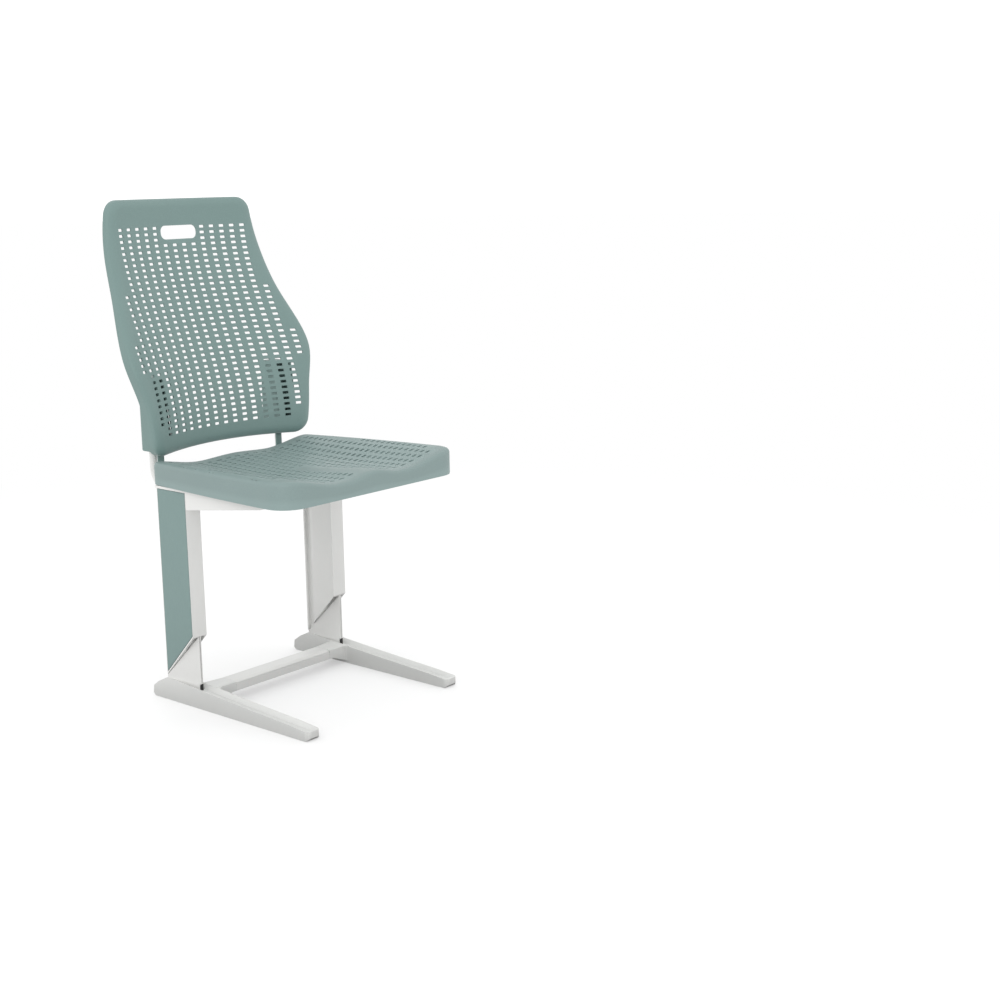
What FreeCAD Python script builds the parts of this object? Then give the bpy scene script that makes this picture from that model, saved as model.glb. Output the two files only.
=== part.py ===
import FreeCAD, Part
import Sketcher
import math
import os
import sys

from FreeCAD import Placement, Rotation, Vector

# Student chair, seat facing -Y, +Z up, sitter's left at +X, origin on the floor under the middle of the
# bounding box. Millimetres.
#
# Two feet, two risers with guide columns and a crossbar stand on the floor. Everything else slides up the
# columns as one: leg shells, arms, rods, seat and backrest.

doc = FreeCAD.newDocument("StudentChair")
sheet = doc.addObject("Spreadsheet::Sheet", "Sizes")

DRIVING_SIZES = (
    # legs, seen from the side they run from leg_front to leg_back
    ("leg_outer", 186.6, "outer face of the legs and feet from the middle plane"),
    ("leg_inner", 155.5, "inner face of the legs"),
    ("leg_front", 29.0, "front face of the legs"),
    ("leg_back", 105.0, "back face of the legs"),
    ("leg_top", 385.5, "top of the leg shells"),
    ("split_front", 127.5, "height of the diagonal end of a leg at its front face"),
    ("split_back", 47.5, "height of the diagonal end of a leg at its back face"),
    ("split_gap", 1.2, "upright gap between the riser and the leg shell"),
    ("panel_thick", 2.4, "thickness of the coloured leg panel"),
    ("panel_reveal", 0.6, "gap round the panel"),
    ("panel_rim", 1.0, "width of the shell's rim beside the panel"),
    ("recess_front", 76.0, "front edge of the channel on the inner face"),
    ("recess_deep", 6.0, "depth of the channel"),
    ("recess_round", 16.0, "length of the rounding from the inner face into the channel"),
    ("recess_lip", 3.4, "thickness of the lip behind the channel"),
    # guide columns and what runs on them
    ("column_mid", 172.0, "column middle from the middle plane"),
    ("column_wide", 14.0, "column size across"),
    ("column_front", 64.0, "front face of the column"),
    ("column_back", 97.0, "back face of the column"),
    ("column_wall", 2.0, "wall of the column tube"),
    ("column_top", 340.0, "top of the column"),
    ("bush_wall", 1.7, "wall of a guide bush"),
    ("slide_clear", 0.3, "running clearance on the columns"),
    ("lower_bush", 108.0, "underside of the lower guide bush"),
    ("upper_bush", 230.0, "underside of the upper guide bush"),
    ("bush_tall", 25.0, "height of a guide bush"),
    ("lift_travel", 60.0, "travel of the height setting"),
    ("lower_clamp", 150.0, "height of the lower clamp bolt"),
    ("clamp_pitch", 40.0, "distance between the two clamp bolts"),
    # floor frame
    ("toe_front", -252.7, "front of the toes"),
    ("toe_height", 16.8, "height of the foot at the toe"),
    ("foot_height", 35.0, "height of the foot just in front of the riser"),
    ("near_bend", -60.0, "first bend in the foot's top line in front of the riser"),
    ("near_bend_height", 30.0, "height of the foot there"),
    ("middle_bend", -127.0, "second bend in the foot's top line"),
    ("middle_bend_height", 25.8, "height of the foot there"),
    ("toe_bend", -209.0, "third bend in the foot's top line"),
    ("toe_bend_height", 20.9, "height of the foot there"),
    ("heel_height", 42.0, "height of the foot behind the riser"),
    ("stub_curve", 9.0, "radius where the stub meets the foot's inner side"),
    ("trough_deep", 7.0, "depth of the trough along the foot's top at the riser"),
    ("trough_half", 13.0, "half width of the trough at the foot's top"),
    ("pad_thick", 1.6, "thickness of the floor pads"),
    ("column_foot", 35.0, "underside of the column, let into the foot"),
    ("plug_low", 29.4, "underside of the plug at the riser's front"),
    ("plug_tall", 11.4, "height of the plug and its notch"),
    ("plug_long", 2.8, "length of the plug's notch behind the leg's front face"),
    ("heel_back", 148.0, "back of the heel"),
    ("foot_inner", 157.5, "inner face of the feet"),
    ("foot_bottom", 0.4, "underside of the feet, above the pads"),
    ("bar_front", 4.0, "front face of the crossbar"),
    ("bar_back", 40.0, "back face of the crossbar"),
    ("bar_bottom", 18.0, "underside of the crossbar"),
    ("bar_top", 35.5, "top of the crossbar"),
    ("bar_half", 115.0, "half length of the crossbar"),
    ("bar_bolt_rise", 5.8, "height of the crossbar's bolts above its underside"),
    # seat and its frame
    ("seat_front", -248.0, "front of the seat"),
    ("seat_back", 123.0, "back of the seat"),
    ("seat_half", 211.5, "half width of the seat near the front"),
    ("seat_half_back", 183.0, "half width of the seat at the back"),
    ("seat_bottom", 391.0, "bottom edge of the seat's skirt"),
    ("seat_level", 418.0, "height of the seat's top face"),
    ("seat_wall", 3.5, "wall of the seat shell"),
    ("arm_front", -176.0, "front tip of the seat arms"),
    ("arm_top", 399.0, "top of the seat arms"),
    ("arm_root", 355.5, "underside of the arm at the leg's front face"),
    ("arm_tip", 380.0, "underside of the arm near its tip"),
    ("arm_wall", 3.0, "wall of the seat arms"),
    ("rail_bottom", 386.7, "underside of the rails between the arms"),
    ("rail_top", 397.0, "top of the rails, where the seat's bosses rest"),
    ("rail_wall", 2.5, "wall of the rails"),
    ("rod_mid", 148.8, "middle of the back rod from the middle plane"),
    ("rod_radius", 6.5, "radius of the back rod"),
    ("rod_back", 158.0, "middle of the upright part of the rod"),
    ("rod_low", 380.0, "middle of the level part of the rod"),
    ("rod_bend", 31.5, "bend radius of the rod at its middle line"),
    ("rod_top", 560.0, "top of the rod"),
    ("rod_front", -120.0, "front end of the rod under the seat"),
    # backrest
    ("back_bottom", 435.0, "bottom of the backrest at its corners"),
    ("back_top", 875.5, "top edge of the backrest"),
    ("back_foot", 142.4, "front face of the backrest at its lower middle"),
    ("back_lean", 97.0, "how far the backrest leans back"),
    ("back_wall", 3.2, "wall of the backrest shell"),
    ("skirt_deep", 13.6, "depth of the backrest's skirt at the middle"),
    ("sleeve_inner", 128.0, "inner face of the rod sleeves"),
    ("sleeve_outer", 163.0, "outer face of the rod sleeves"),
    ("sleeve_back", 176.0, "back face of the rod sleeves"),
    ("sleeve_bottom", 441.0, "bottom of the rod sleeves"),
    ("sleeve_top", 572.0, "top of the rod sleeves"),
    ("tongue_inner", 133.3, "inner edge of the tongue below each sleeve"),
    ("tongue_outer", 147.0, "outer edge of the tongue"),
    ("slot_half", 41.0, "half width of the hand slot"),
    ("slot_low", 803.2, "lower edge of the hand slot"),
    ("slot_high", 827.6, "upper edge of the hand slot"),
)

sheet.set("A1", "name")
sheet.set("B1", "mm")
sheet.set("C1", "what it is")
for row, (alias, value, meaning) in enumerate(DRIVING_SIZES, start=2):
    sheet.set(f"A{row}", alias)
    sheet.set(f"B{row}", str(value))
    sheet.setAlias(f"B{row}", alias)
    sheet.set(f"C{row}", meaning)
doc.recompute()

SIDES = (("left", 1), ("right", -1))
sub_parts = []


def size(expression):
    """Value of an expression in the sheet's aliases."""
    return float(sheet.evalExpression(expression))


def bound(expression):
    """The same expression as another object has to write it, with each alias on the sheet."""
    names = sorted((alias for alias, _, _ in DRIVING_SIZES), key=len, reverse=True)
    words = []
    token = ""
    for letter in expression + " ":
        if letter.isalnum() or letter == "_":
            token += letter
        else:
            words.append(f"Sizes.{token}" if token in names else token)
            words.append(letter)
            token = ""
    return "".join(words).strip()


def keep(item, node):
    """Name the object that is the sub-part NODE."""
    item.Label = node
    sub_parts.append((node, item))
    return item


# ---------------------------------------------------------------- PartDesign helpers

def new_body(node):
    return keep(doc.addObject("PartDesign::Body", f"{node}_body"), node)


def sketch_on(body, role, offset, name):
    """An empty sketch on one of the body's origin planes, moved along the plane's normal by an expression."""
    sketch = body.newObject("Sketcher::SketchObject", name)
    plane = [item for item in body.Origin.OriginFeatures if item.Role == role][0]
    sketch.AttachmentSupport = (plane, [""])
    sketch.MapMode = "FlatFace"
    sketch.setExpression("AttachmentOffset.Base.z", bound(offset))
    return sketch


def outline(sketch, corners):
    """A closed outline through the corners, each a pair of expressions that stays bound to the sheet."""
    spots = [Vector(size(across), size(up), 0) for across, up in corners]
    for start, end in zip(spots, spots[1:] + spots[:1]):
        sketch.addGeometry(Part.LineSegment(start, end), False)
    last = len(spots) - 1
    for index, (across, up) in enumerate(corners):
        before = last if index == 0 else index - 1
        sketch.addConstraint(Sketcher.Constraint("Coincident", before, 2, index, 1))
        for kind, expression in (("DistanceX", across), ("DistanceY", up)):
            value = size(expression)
            number = sketch.addConstraint(Sketcher.Constraint(kind, -1, 1, index, 1, value))
            sketch.setExpression(f"Constraints[{number}]", bound(expression))


def ring(sketch, across, up, radius):
    """A circle whose centre and radius stay bound to the sheet."""
    centre = Vector(size(across), size(up), 0)
    index = sketch.addGeometry(Part.Circle(centre, Vector(0, 0, 1), size(radius)), False)
    for kind, expression in (("DistanceX", across), ("DistanceY", up)):
        number = sketch.addConstraint(Sketcher.Constraint(kind, -1, 1, index, 3, size(expression)))
        sketch.setExpression(f"Constraints[{number}]", bound(expression))
    number = sketch.addConstraint(Sketcher.Constraint("Radius", index, size(radius)))
    sketch.setExpression(f"Constraints[{number}]", bound(radius))


def pad(body, sketch, length, name, reverse=False):
    feature = body.newObject("PartDesign::Pad", name)
    feature.Profile = sketch
    feature.setExpression("Length", bound(length))
    feature.Reversed = reverse
    doc.recompute()
    return feature


def pocket(body, sketch, length, name, reverse=False):
    """Cut and make sure that material went."""
    before = body.Shape.Volume
    feature = body.newObject("PartDesign::Pocket", name)
    feature.Profile = sketch
    feature.setExpression("Length", bound(length))
    feature.Reversed = reverse
    doc.recompute()
    if body.Shape.Volume > before - 1.0:
        sys.exit(f"{body.Label}: {name} cuts nothing")
    return feature


def round_edges(body, wanted, radius, name):
    """Fillet the edges of the body for which wanted(edge) is true."""
    tip = body.Tip
    names = [f"Edge{i + 1}" for i, edge in enumerate(tip.Shape.Edges) if wanted(edge)]
    feature = body.newObject("PartDesign::Fillet", name)
    feature.Base = (tip, names)
    feature.Radius = radius
    doc.recompute()
    return feature


def ends(edge):
    return edge.Vertexes[0].Point, edge.Vertexes[-1].Point


def slab(body, side, corners, near, far, name):
    """Pad a side-view outline (Y, Z) between two distances from the middle plane."""
    start = near if side > 0 else f"-({far})"
    sketch = sketch_on(body, "YZ_Plane", start, f"{name}_outline")
    outline(sketch, corners)
    return pad(body, sketch, f"({far}) - ({near})", name)


def slab_cut(body, side, corners, near, far, name):
    """Cut a side-view outline (Y, Z) out between two distances from the middle plane."""
    start = near if side > 0 else f"-({far})"
    sketch = sketch_on(body, "YZ_Plane", start, f"{name}_outline")
    outline(sketch, corners)
    return pocket(body, sketch, f"({far}) - ({near})", name, reverse=True)


def box_cut(body, side, near, far, front, back, low, high, name):
    corners = ((front, low), (back, low), (back, high), (front, high))
    return slab_cut(body, side, corners, near, far, name)


# ---------------------------------------------------------------- floor frame

FOOT_OUTLINE = (
    ("toe_front", "foot_bottom + 5"),
    ("toe_front + 6", "foot_bottom"),
    ("heel_back - 5", "foot_bottom"),
    ("heel_back", "foot_bottom + 5"),
    ("heel_back - 2", "heel_height - 22.5"),
    ("heel_back - 18", "heel_height - 11.5"),
    ("leg_back + 1", "heel_height"),
    ("leg_back - 5", "heel_height - 0.5"),
    ("leg_front - 21", "foot_height"),
    ("near_bend", "near_bend_height"),
    ("middle_bend", "middle_bend_height"),
    ("toe_bend", "toe_bend_height"),
    ("toe_front + 16", "toe_height + 1.5"),
    ("toe_front", "toe_height"),
)

BAR_OUTLINE = (
    ("bar_front", "bar_bottom"),
    ("bar_back", "bar_bottom"),
    ("bar_back", "bar_top"),
    ("bar_front + 8", "bar_top"),
    ("bar_front", "bar_top - 2.5"),
    # narrow groove along the front, just under the sloping edge
    ("bar_front", "bar_top - 3.1"),
    ("bar_front + 1.6", "bar_top - 3.1"),
    ("bar_front + 1.6", "bar_top - 4.6"),
    ("bar_front", "bar_top - 4.6"),
)

# along the foot, its top there, and the depth of the trough
TROUGH_SECTIONS = (
    ("leg_back - 8", "heel_height - 0.7", "0.2"),
    ("leg_front + 41", "heel_height - 2.6", "trough_deep"),
    ("leg_front - 21", "foot_height", "trough_deep"),
    ("near_bend", "near_bend_height", "trough_deep"),
    ("middle_bend", "middle_bend_height", "trough_deep"),
    ("toe_bend", "toe_bend_height", "trough_deep"),
    ("toe_front + 16", "toe_height + 1.5", "trough_deep - 1.5"),
    ("toe_front + 3.5", "toe_height + 0.3", "0.2"),
)

COLUMN_BOLT_Y = "column_back - 16"
PAD_STARTS = ("toe_front + 14", "heel_back - 56")
PAD_LONG = 42.0


def foot(name, side):
    """One casting: a bar tapering to the toe, troughed along its top, and a stub that meets the crossbar."""
    body = new_body(f"foot_{name}")
    sign = "" if side > 0 else "-"
    slab(body, side, FOOT_OUTLINE, "foot_inner", "leg_outer", "bar")
    # seen from above the stub curves into the foot's inner side
    sweep_steps = 3
    sweep = []
    for step in range(sweep_steps + 1):
        turn = math.radians(90 * step / sweep_steps)
        out, forward = round(math.sin(turn), 4), round(1 - math.cos(turn), 4)
        sweep.append((f"{sign}(foot_inner - stub_curve + stub_curve * {out})",
                      f"bar_front - stub_curve * {forward}"))
    stub = sketch_on(body, "XY_Plane", "pad_thick + 1.4", "stub_outline")
    outline(stub, [(f"{sign}(bar_half + 0.4)", "bar_front")] + sweep
            + [(f"{sign}(foot_inner + 1)", "bar_front - stub_curve"),
               (f"{sign}(foot_inner + 1)", "bar_back + 6"),
               (f"{sign}(bar_half + 0.4)", "bar_back")])
    pad(body, stub, "bar_top - pad_thick - 1.4", "stub")
    under = sketch_on(body, "XZ_Plane", "-(bar_back + 7)", "stub_underside_outline")
    outline(under, ((f"{sign}(bar_half - 1)", "0"), (f"{sign}foot_inner", "0"), (f"{sign}foot_inner", "5"),
                    (f"{sign}(bar_half + 10)", "bar_bottom"), (f"{sign}(bar_half - 1)", "bar_bottom")))
    pocket(body, under, "bar_back - bar_front + 50", "stub_underside", reverse=True)
    above = (
        ("leg_front - 21", "foot_height"),
        ("near_bend", "near_bend_height"),
        ("near_bend", "bar_top + 5"),
        ("leg_front - 21", "bar_top + 5"),
    )
    slab_cut(body, side, above, "bar_half", "foot_inner", "stub_top")
    round_edges(body, is_toe_edge, 8.0, "toe_corners")
    trough(body, sign)
    # hollow underneath, a socket for the column and pockets for the pads
    hollow = (
        ("toe_front + 64", "foot_bottom - 1"),
        ("column_front + 2", "foot_bottom - 1"),
        ("column_front + 2", "foot_height - trough_deep - 3"),
        ("leg_front - 21", "foot_height - trough_deep - 3"),
        ("middle_bend", "middle_bend_height - trough_deep - 2"),
        ("toe_front + 64", "toe_bend_height - trough_deep - 1"),
    )
    slab_cut(body, side, hollow, "foot_inner + 4.5", "leg_outer - 4.5", "hollow")
    box_cut(body, side, "column_mid - column_wide / 2 - 0.1", "column_mid + column_wide / 2 + 0.1",
            "column_front - 0.1", "column_back + 0.1", "column_foot", "heel_height + 1", "column_seat")
    for number, start in enumerate(PAD_STARTS, start=1):
        box_cut(body, side, "column_mid - 6.6", "column_mid + 6.6",
                f"{start} - 0.1", f"{start} + {PAD_LONG} + 0.1",
                "foot_bottom - 1", "pad_thick", f"pad_pocket_{number}")
    # bolt holes for the column and the crossbar
    holes = sketch_on(body, "XY_Plane", "0", "column_bolt_outline")
    ring(holes, f"{sign}column_mid", COLUMN_BOLT_Y, "4.2")
    pocket(body, holes, "60", "column_bolt_hole", reverse=True)
    wells = sketch_on(body, "XY_Plane", "0", "column_bolt_well_outline")
    ring(wells, f"{sign}column_mid", COLUMN_BOLT_Y, "8")
    pocket(body, wells, "9", "column_bolt_well", reverse=True)
    bolts_from = "bar_half - 4" if side > 0 else "-(foot_inner + 12)"
    across = sketch_on(body, "YZ_Plane", bolts_from, "bar_bolt_outline")
    ring(across, "bar_front + 12", "bar_bottom + bar_bolt_rise", "3.3")
    ring(across, "bar_back - 12", "bar_bottom + bar_bolt_rise", "3.3")
    pocket(body, across, "foot_inner + 16 - bar_half", "bar_bolt_holes", reverse=True)
    return body


def is_toe_edge(edge):
    """The toe's two upright corners."""
    start, end = ends(edge)
    upright = abs(start.z - end.z) > 5 and abs(start.x - end.x) < 0.01
    return upright and max(start.y, end.y) < size("toe_front") + 0.1


def trough(body, sign):
    """Hollow the foot's top between its two rims, fading out under the riser and at the toe."""
    sketches = []
    for number, (along, top, deep) in enumerate(TROUGH_SECTIONS):
        sketch = sketch_on(body, "XZ_Plane", f"-({along})", f"trough_section_{number}")
        outline(sketch, ((f"{sign}(column_mid - trough_half)", f"{top} + 4"),
                         (f"{sign}(column_mid - trough_half)", top),
                         (f"{sign}(column_mid - trough_half / 2)", f"{top} - ({deep})"),
                         (f"{sign}(column_mid + trough_half / 2)", f"{top} - ({deep})"),
                         (f"{sign}(column_mid + trough_half)", top),
                         (f"{sign}(column_mid + trough_half)", f"{top} + 4")))
        sketches.append(sketch)
    doc.recompute()
    before = body.Shape.Volume
    loft = body.newObject("PartDesign::SubtractiveLoft", "trough")
    loft.Profile = sketches[0]
    loft.Sections = sketches[1:]
    loft.Ruled = True
    doc.recompute()
    if body.Shape.Volume > before - 1.0:
        sys.exit(f"{body.Label}: the trough cuts nothing")


def riser(name, side):
    """A wedge, wide at the back and narrow at the front, cut off on the diagonal and let into the foot."""
    body = doc.addObject("PartDesign::Body", f"riser_wedge_{name}")
    plan = sketch_on(body, "XY_Plane", "foot_height - trough_deep - 2", "plan")
    sign = "" if side > 0 else "-"
    outline(plan, (
        (f"{sign}(column_mid - 2.5)", "leg_front - 0.5"),
        (f"{sign}(column_mid + 2.5)", "leg_front - 0.5"),
        (f"{sign}(leg_outer - 0.6)", "leg_back - 6"),
        (f"{sign}(leg_outer - 0.6)", "leg_back"),
        (f"{sign}(foot_inner + 0.4)", "leg_back"),
        (f"{sign}(foot_inner + 0.4)", "leg_back - 6"),
    ))
    pad(body, plan, "split_front - foot_height + trough_deep + 2", "wedge")
    slope = "((split_front - split_back) / (leg_back - leg_front))"
    above = (
        ("leg_front - 10", f"split_front + 10 * {slope} - split_gap"),
        ("leg_back + 10", f"split_back - 10 * {slope} - split_gap"),
        ("leg_back + 10", "split_front + 60"),
        ("leg_front - 10", "split_front + 60"),
    )
    slab_cut(body, side, above, "leg_inner - 5", "leg_outer + 5", "diagonal")
    # a slot for the guide column, and the notch that takes the plug
    box_cut(body, side, "column_mid - column_wide / 2 - 0.2", "column_mid + column_wide / 2 + 0.2",
            "column_front - 0.2", "column_back + 0.2", "foot_height - trough_deep - 3", "split_front",
            "column_socket")
    box_cut(body, side, "column_mid - 4", "column_mid + 4", "leg_front - 2", "leg_front + plug_long",
            "foot_height - trough_deep - 3", "plug_low + plug_tall", "plug_notch")
    box_cut(body, side, "column_mid - 0.9", "column_mid + 0.9", "leg_front - 2", "leg_front + 2.2",
            "plug_low", "split_front", "front_groove")
    wedge = doc.addObject("Part::Cut", f"riser_{name}_on_foot")
    wedge.Base = body
    wedge.Tool = [item for node, item in sub_parts if node == f"foot_{name}"][0]
    doc.recompute()
    return keep(wedge, f"riser_{name}")


def column(name, side):
    """Rectangular guide tube with a long slot in its back wall for the clamp bolts."""
    body = new_body(f"guide_column_{name}")
    near, far = "column_mid - column_wide / 2", "column_mid + column_wide / 2"
    corners = (("column_front", "column_foot"), ("column_back", "column_foot"), ("column_back", "column_top"),
               ("column_front", "column_top"))
    slab(body, side, corners, near, far, "tube")
    box_cut(body, side, f"{near} + column_wall", f"{far} - column_wall", "column_front + column_wall",
            "column_back - column_wall", "column_foot + 16", "column_top + 1", "bore")
    box_cut(body, side, "column_mid - 4.5", "column_mid + 4.5", "column_back - column_wall - 1",
            "column_back + 1", "lower_clamp - 10", "lower_clamp + clamp_pitch + lift_travel + 10",
            "clamp_slot")
    hole = sketch_on(body, "XY_Plane", "column_foot", "foot_bolt_outline")
    ring(hole, f"{'' if side > 0 else '-'}column_mid", COLUMN_BOLT_Y, "4")
    pocket(body, hole, "17", "foot_bolt_hole", reverse=True)
    return body


def crossbar():
    """Folded channel, open underneath, with bolting plates in its ends."""
    body = new_body("crossbar")
    sketch = sketch_on(body, "YZ_Plane", "-bar_half", "channel_outline")
    outline(sketch, BAR_OUTLINE)
    pad(body, sketch, "2 * bar_half", "channel")
    hollow = sketch_on(body, "YZ_Plane", "-bar_half + 5", "hollow_outline")
    outline(hollow, (("bar_front + 2.5", "bar_bottom - 1"), ("bar_back - 2.5", "bar_bottom - 1"),
                     ("bar_back - 2.5", "bar_top - 2.5"), ("bar_front + 9", "bar_top - 2.5"),
                     ("bar_front + 2.5", "bar_top - 4.6")))
    pocket(body, hollow, "2 * bar_half - 10", "hollow", reverse=True)
    bolts = sketch_on(body, "YZ_Plane", "-bar_half - 1", "bolt_outline")
    ring(bolts, "bar_front + 12", "bar_bottom + bar_bolt_rise", "3.1")
    ring(bolts, "bar_back - 12", "bar_bottom + bar_bolt_rise", "3.1")
    pocket(body, bolts, "2 * bar_half + 2", "bolt_holes", reverse=True)
    return body


for side_name, side_sign in SIDES:
    foot(side_name, side_sign)
    riser(side_name, side_sign)
    column(side_name, side_sign)
crossbar()


# ---------------------------------------------------------------- legs that slide on the columns

def leg_shell(name, side):
    """Extruded leg with a diagonal end, a bed for the coloured panel and a chamber for the column."""
    body = new_body(f"leg_shell_{name}")
    corners = (("leg_front", "split_front"), ("leg_back", "split_back"), ("leg_back", "leg_top"),
               ("leg_front", "leg_top"))
    slab(body, side, corners, "leg_inner", "leg_outer", "extrusion")
    slab_cut(body, side, panel_outline("panel_rim", "4.2", "-1"), "leg_outer - panel_thick - 0.2",
             "leg_outer + 1", "panel_bed")
    inner_channel(body, side)
    room = "(bush_wall + slide_clear)"
    box_cut(body, side, f"column_mid - column_wide / 2 - {room}", f"column_mid + column_wide / 2 + {room}",
            f"column_front - {room}", f"column_back + {room}", "0", "leg_top + 1", "column_chamber")
    box_cut(body, side, "leg_inner + 2.5", "leg_outer - panel_thick - 2.7", "leg_front + 2.5",
            "column_front - 5", "0", "leg_top + 1", "front_chamber")
    holes = sketch_on(body, "XZ_Plane", "-(leg_back + 1)", "clamp_hole_outline")
    for height in ("lower_clamp", "lower_clamp + clamp_pitch"):
        ring(holes, f"{'' if side > 0 else '-'}column_mid", height, "4.2")
    pocket(body, holes, "8", "clamp_holes", reverse=True)
    return body


def inner_channel(body, side):
    """Channel down the back of the inner face, rounded at its front and closed by a thin lip behind."""
    sign = "" if side > 0 else "-"
    steps = 5
    rounding = []
    for step in range(steps + 1):
        turn = math.radians(90 * step / steps)
        along, into = round(math.sin(turn), 4), round(1 - math.cos(turn), 4)
        rounding.append((f"{sign}(leg_inner + recess_deep * {into})",
                         f"recess_front + recess_round * {along}"))
    section = sketch_on(body, "XY_Plane", "0", "inner_channel_outline")
    outline(section, [(f"{sign}(leg_inner - 1)", "recess_front")] + rounding
            + [(f"{sign}(leg_inner + recess_deep)", "leg_back - recess_lip"),
               (f"{sign}(leg_inner - 1)", "leg_back - recess_lip")])
    pocket(body, section, "leg_top + 1", "inner_channel", reverse=True)


def panel_outline(inset, rise, top):
    """The leg's side outline drawn in by inset at the front and back and by rise at the diagonal."""
    slope = "((split_front - split_back) / (leg_back - leg_front))"
    return (
        (f"leg_front + {inset}", f"split_front - ({inset}) * {slope} + {rise}"),
        (f"leg_back - ({inset})", f"split_back + ({inset}) * {slope} + {rise}"),
        (f"leg_back - ({inset})", f"leg_top - ({top})"),
        (f"leg_front + {inset}", f"leg_top - ({top})"),
    )


def leg_panel(name, side):
    body = new_body(f"leg_panel_{name}")
    corners = panel_outline("panel_rim + panel_reveal", "4.2 + 2 * panel_reveal", "panel_reveal")
    slab(body, side, corners, "leg_outer - panel_thick", "leg_outer", "panel")
    return body


def guide_bushes(name, side):
    """Two plastic rings round the column, one above the other."""
    rings = []
    middle = side * size("column_mid")
    wide = size("column_wide / 2")
    front, back = size("column_front"), size("column_back")
    clear, wall = size("slide_clear"), size("bush_wall")
    for low in (size("lower_bush"), size("upper_bush")):
        outer = block(middle - wide - clear - wall, middle + wide + clear + wall,
                      front - clear - wall, back + clear + wall, low, low + size("bush_tall"))
        inner = block(middle - wide - clear, middle + wide + clear, front - clear, back + clear,
                      low - 1, low + size("bush_tall") + 1)
        rings.append(outer.cut(inner))
    return feature(f"guide_bushes_{name}", Part.makeCompound(rings))


def nut_plate(name, side):
    middle = side * size("column_mid")
    back = size("column_back - column_wall") - 0.3
    low = size("lower_clamp")
    plate = block(middle - 4.5, middle + 4.5, back - 10, back, low - 10, low + size("clamp_pitch") + 10)
    for height in (low, low + size("clamp_pitch")):
        hole = rod_between(Vector(middle, back - 11, height), Vector(middle, back + 1, height), 4.0)
        plate = plate.cut(hole)
    return feature(f"nut_plate_{name}", plate)


def clamp_bolts(name, side):
    low = size("lower_clamp")
    back = size("leg_back")
    bolts = [screw(Vector(side * size("column_mid"), back, height), Vector(0, -1, 0), 6.5, 4.0, 3.95, 20.0)
             for height in (low, low + size("clamp_pitch"))]
    return feature(f"clamp_bolts_{name}", Part.makeCompound(bolts))


# ---------------------------------------------------------------- Part helpers

def feature(node, shape):
    item = doc.addObject("Part::Feature", f"{node}_part")
    item.Shape = shape
    return keep(item, node)


def block(left, right, front, back, low, high):
    return Part.makeBox(right - left, back - front, high - low, Vector(left, front, low))


def rod_between(start, end, radius):
    return Part.makeCylinder(radius, (end - start).Length, start, end - start)


def screw(under_head, direction, head_radius, head_height, radius, length):
    """Socket head screw: direction points from the head along the thread."""
    head = rod_between(under_head - direction * head_height, under_head, head_radius)
    shank = rod_between(under_head, under_head + direction * length, radius)
    corners = [Vector(math.cos(math.radians(60 * k)), math.sin(math.radians(60 * k)), 0) * head_radius * 0.5
               for k in range(7)]
    socket = Part.Face(Part.makePolygon(corners)).extrude(Vector(0, 0, head_height * 0.6))
    socket.Placement = Placement(under_head - direction * head_height, Rotation(Vector(0, 0, 1), direction))
    return head.fuse(shank).removeSplitter().cut(socket)


def face_through(height_at, across, along, steps=14):
    """A smooth face over a rectangle, height_at(u, v) giving each point."""
    rows = []
    for i in range(steps + 1):
        u = across[0] + (across[1] - across[0]) * i / steps
        rows.append([height_at(u, along[0] + (along[1] - along[0]) * j / steps) for j in range(steps + 1)])
    surface = Part.BSplineSurface()
    surface.interpolate(rows)
    return surface.toShape()


def ease(start, end, value):
    """Smooth step from 0 at start to 1 at end."""
    part = min(max((value - start) / (end - start), 0.0), 1.0)
    return part * part * (3 - 2 * part)


# ---------------------------------------------------------------- seat frame

def seat_arm(name, side):
    """Folded arm on top of the leg, tapering to a rounded tip under the seat."""
    body = new_body(f"seat_arm_{name}")
    corners = (
        ("leg_front", "leg_top"),
        ("leg_front", "arm_root"),
        ("arm_front + 16", "arm_tip"),
        ("arm_front + 6", "arm_tip + 3"),
        ("arm_front", "arm_tip + 11"),
        ("arm_front", "arm_top"),
        ("leg_front + 6", "arm_top"),
        ("leg_front + 6", "seat_bottom - 0.8"),
        ("leg_back + 5", "seat_bottom - 0.8"),
        ("leg_back + 5", "leg_top + 2"),
        ("leg_back + 3", "leg_top"),
    )
    slab(body, side, corners, "leg_inner", "leg_outer", "arm")
    inside = (
        ("leg_front - arm_wall", "leg_top + arm_wall"),
        ("leg_front - arm_wall", "arm_root + arm_wall + 1.5"),
        ("arm_front + 18", "arm_tip + arm_wall + 1"),
        ("arm_front + arm_wall", "arm_tip + 14"),
        ("arm_front + arm_wall", "arm_top + 1"),
        ("leg_front + 7", "arm_top + 1"),
        ("leg_front + 7", "leg_top + arm_wall"),
    )
    slab_cut(body, side, inside, "leg_inner + arm_wall", "leg_outer - arm_wall", "trough")
    return body


def back_rod(name, side):
    """Round rod: upright in the sleeve, bent forward under the seat along the arm."""
    middle, radius, bend = side * size("rod_mid"), size("rod_radius"), size("rod_bend")
    back, low = size("rod_back"), size("rod_low")
    bend_top = Vector(middle, back, low + bend)
    bend_front = Vector(middle, back - bend, low)
    upright = rod_between(bend_top, Vector(middle, back, size("rod_top")), radius)
    level = rod_between(bend_front, Vector(middle, size("rod_front"), low), radius)
    disc = Part.Face(Part.Wire(Part.makeCircle(radius, bend_top, Vector(0, 0, 1))))
    elbow = disc.revolve(Vector(middle, back - bend, low + bend), Vector(1, 0, 0), -90)
    shape = upright.fuse([elbow, level]).removeSplitter()
    for height in SLEEVE_SCREWS:
        shape = shape.cut(rod_between(Vector(middle, back - radius - 1, height),
                                      Vector(middle, back + radius + 1, height), 2.6))
    return feature(f"back_rod_{name}", shape)


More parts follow.
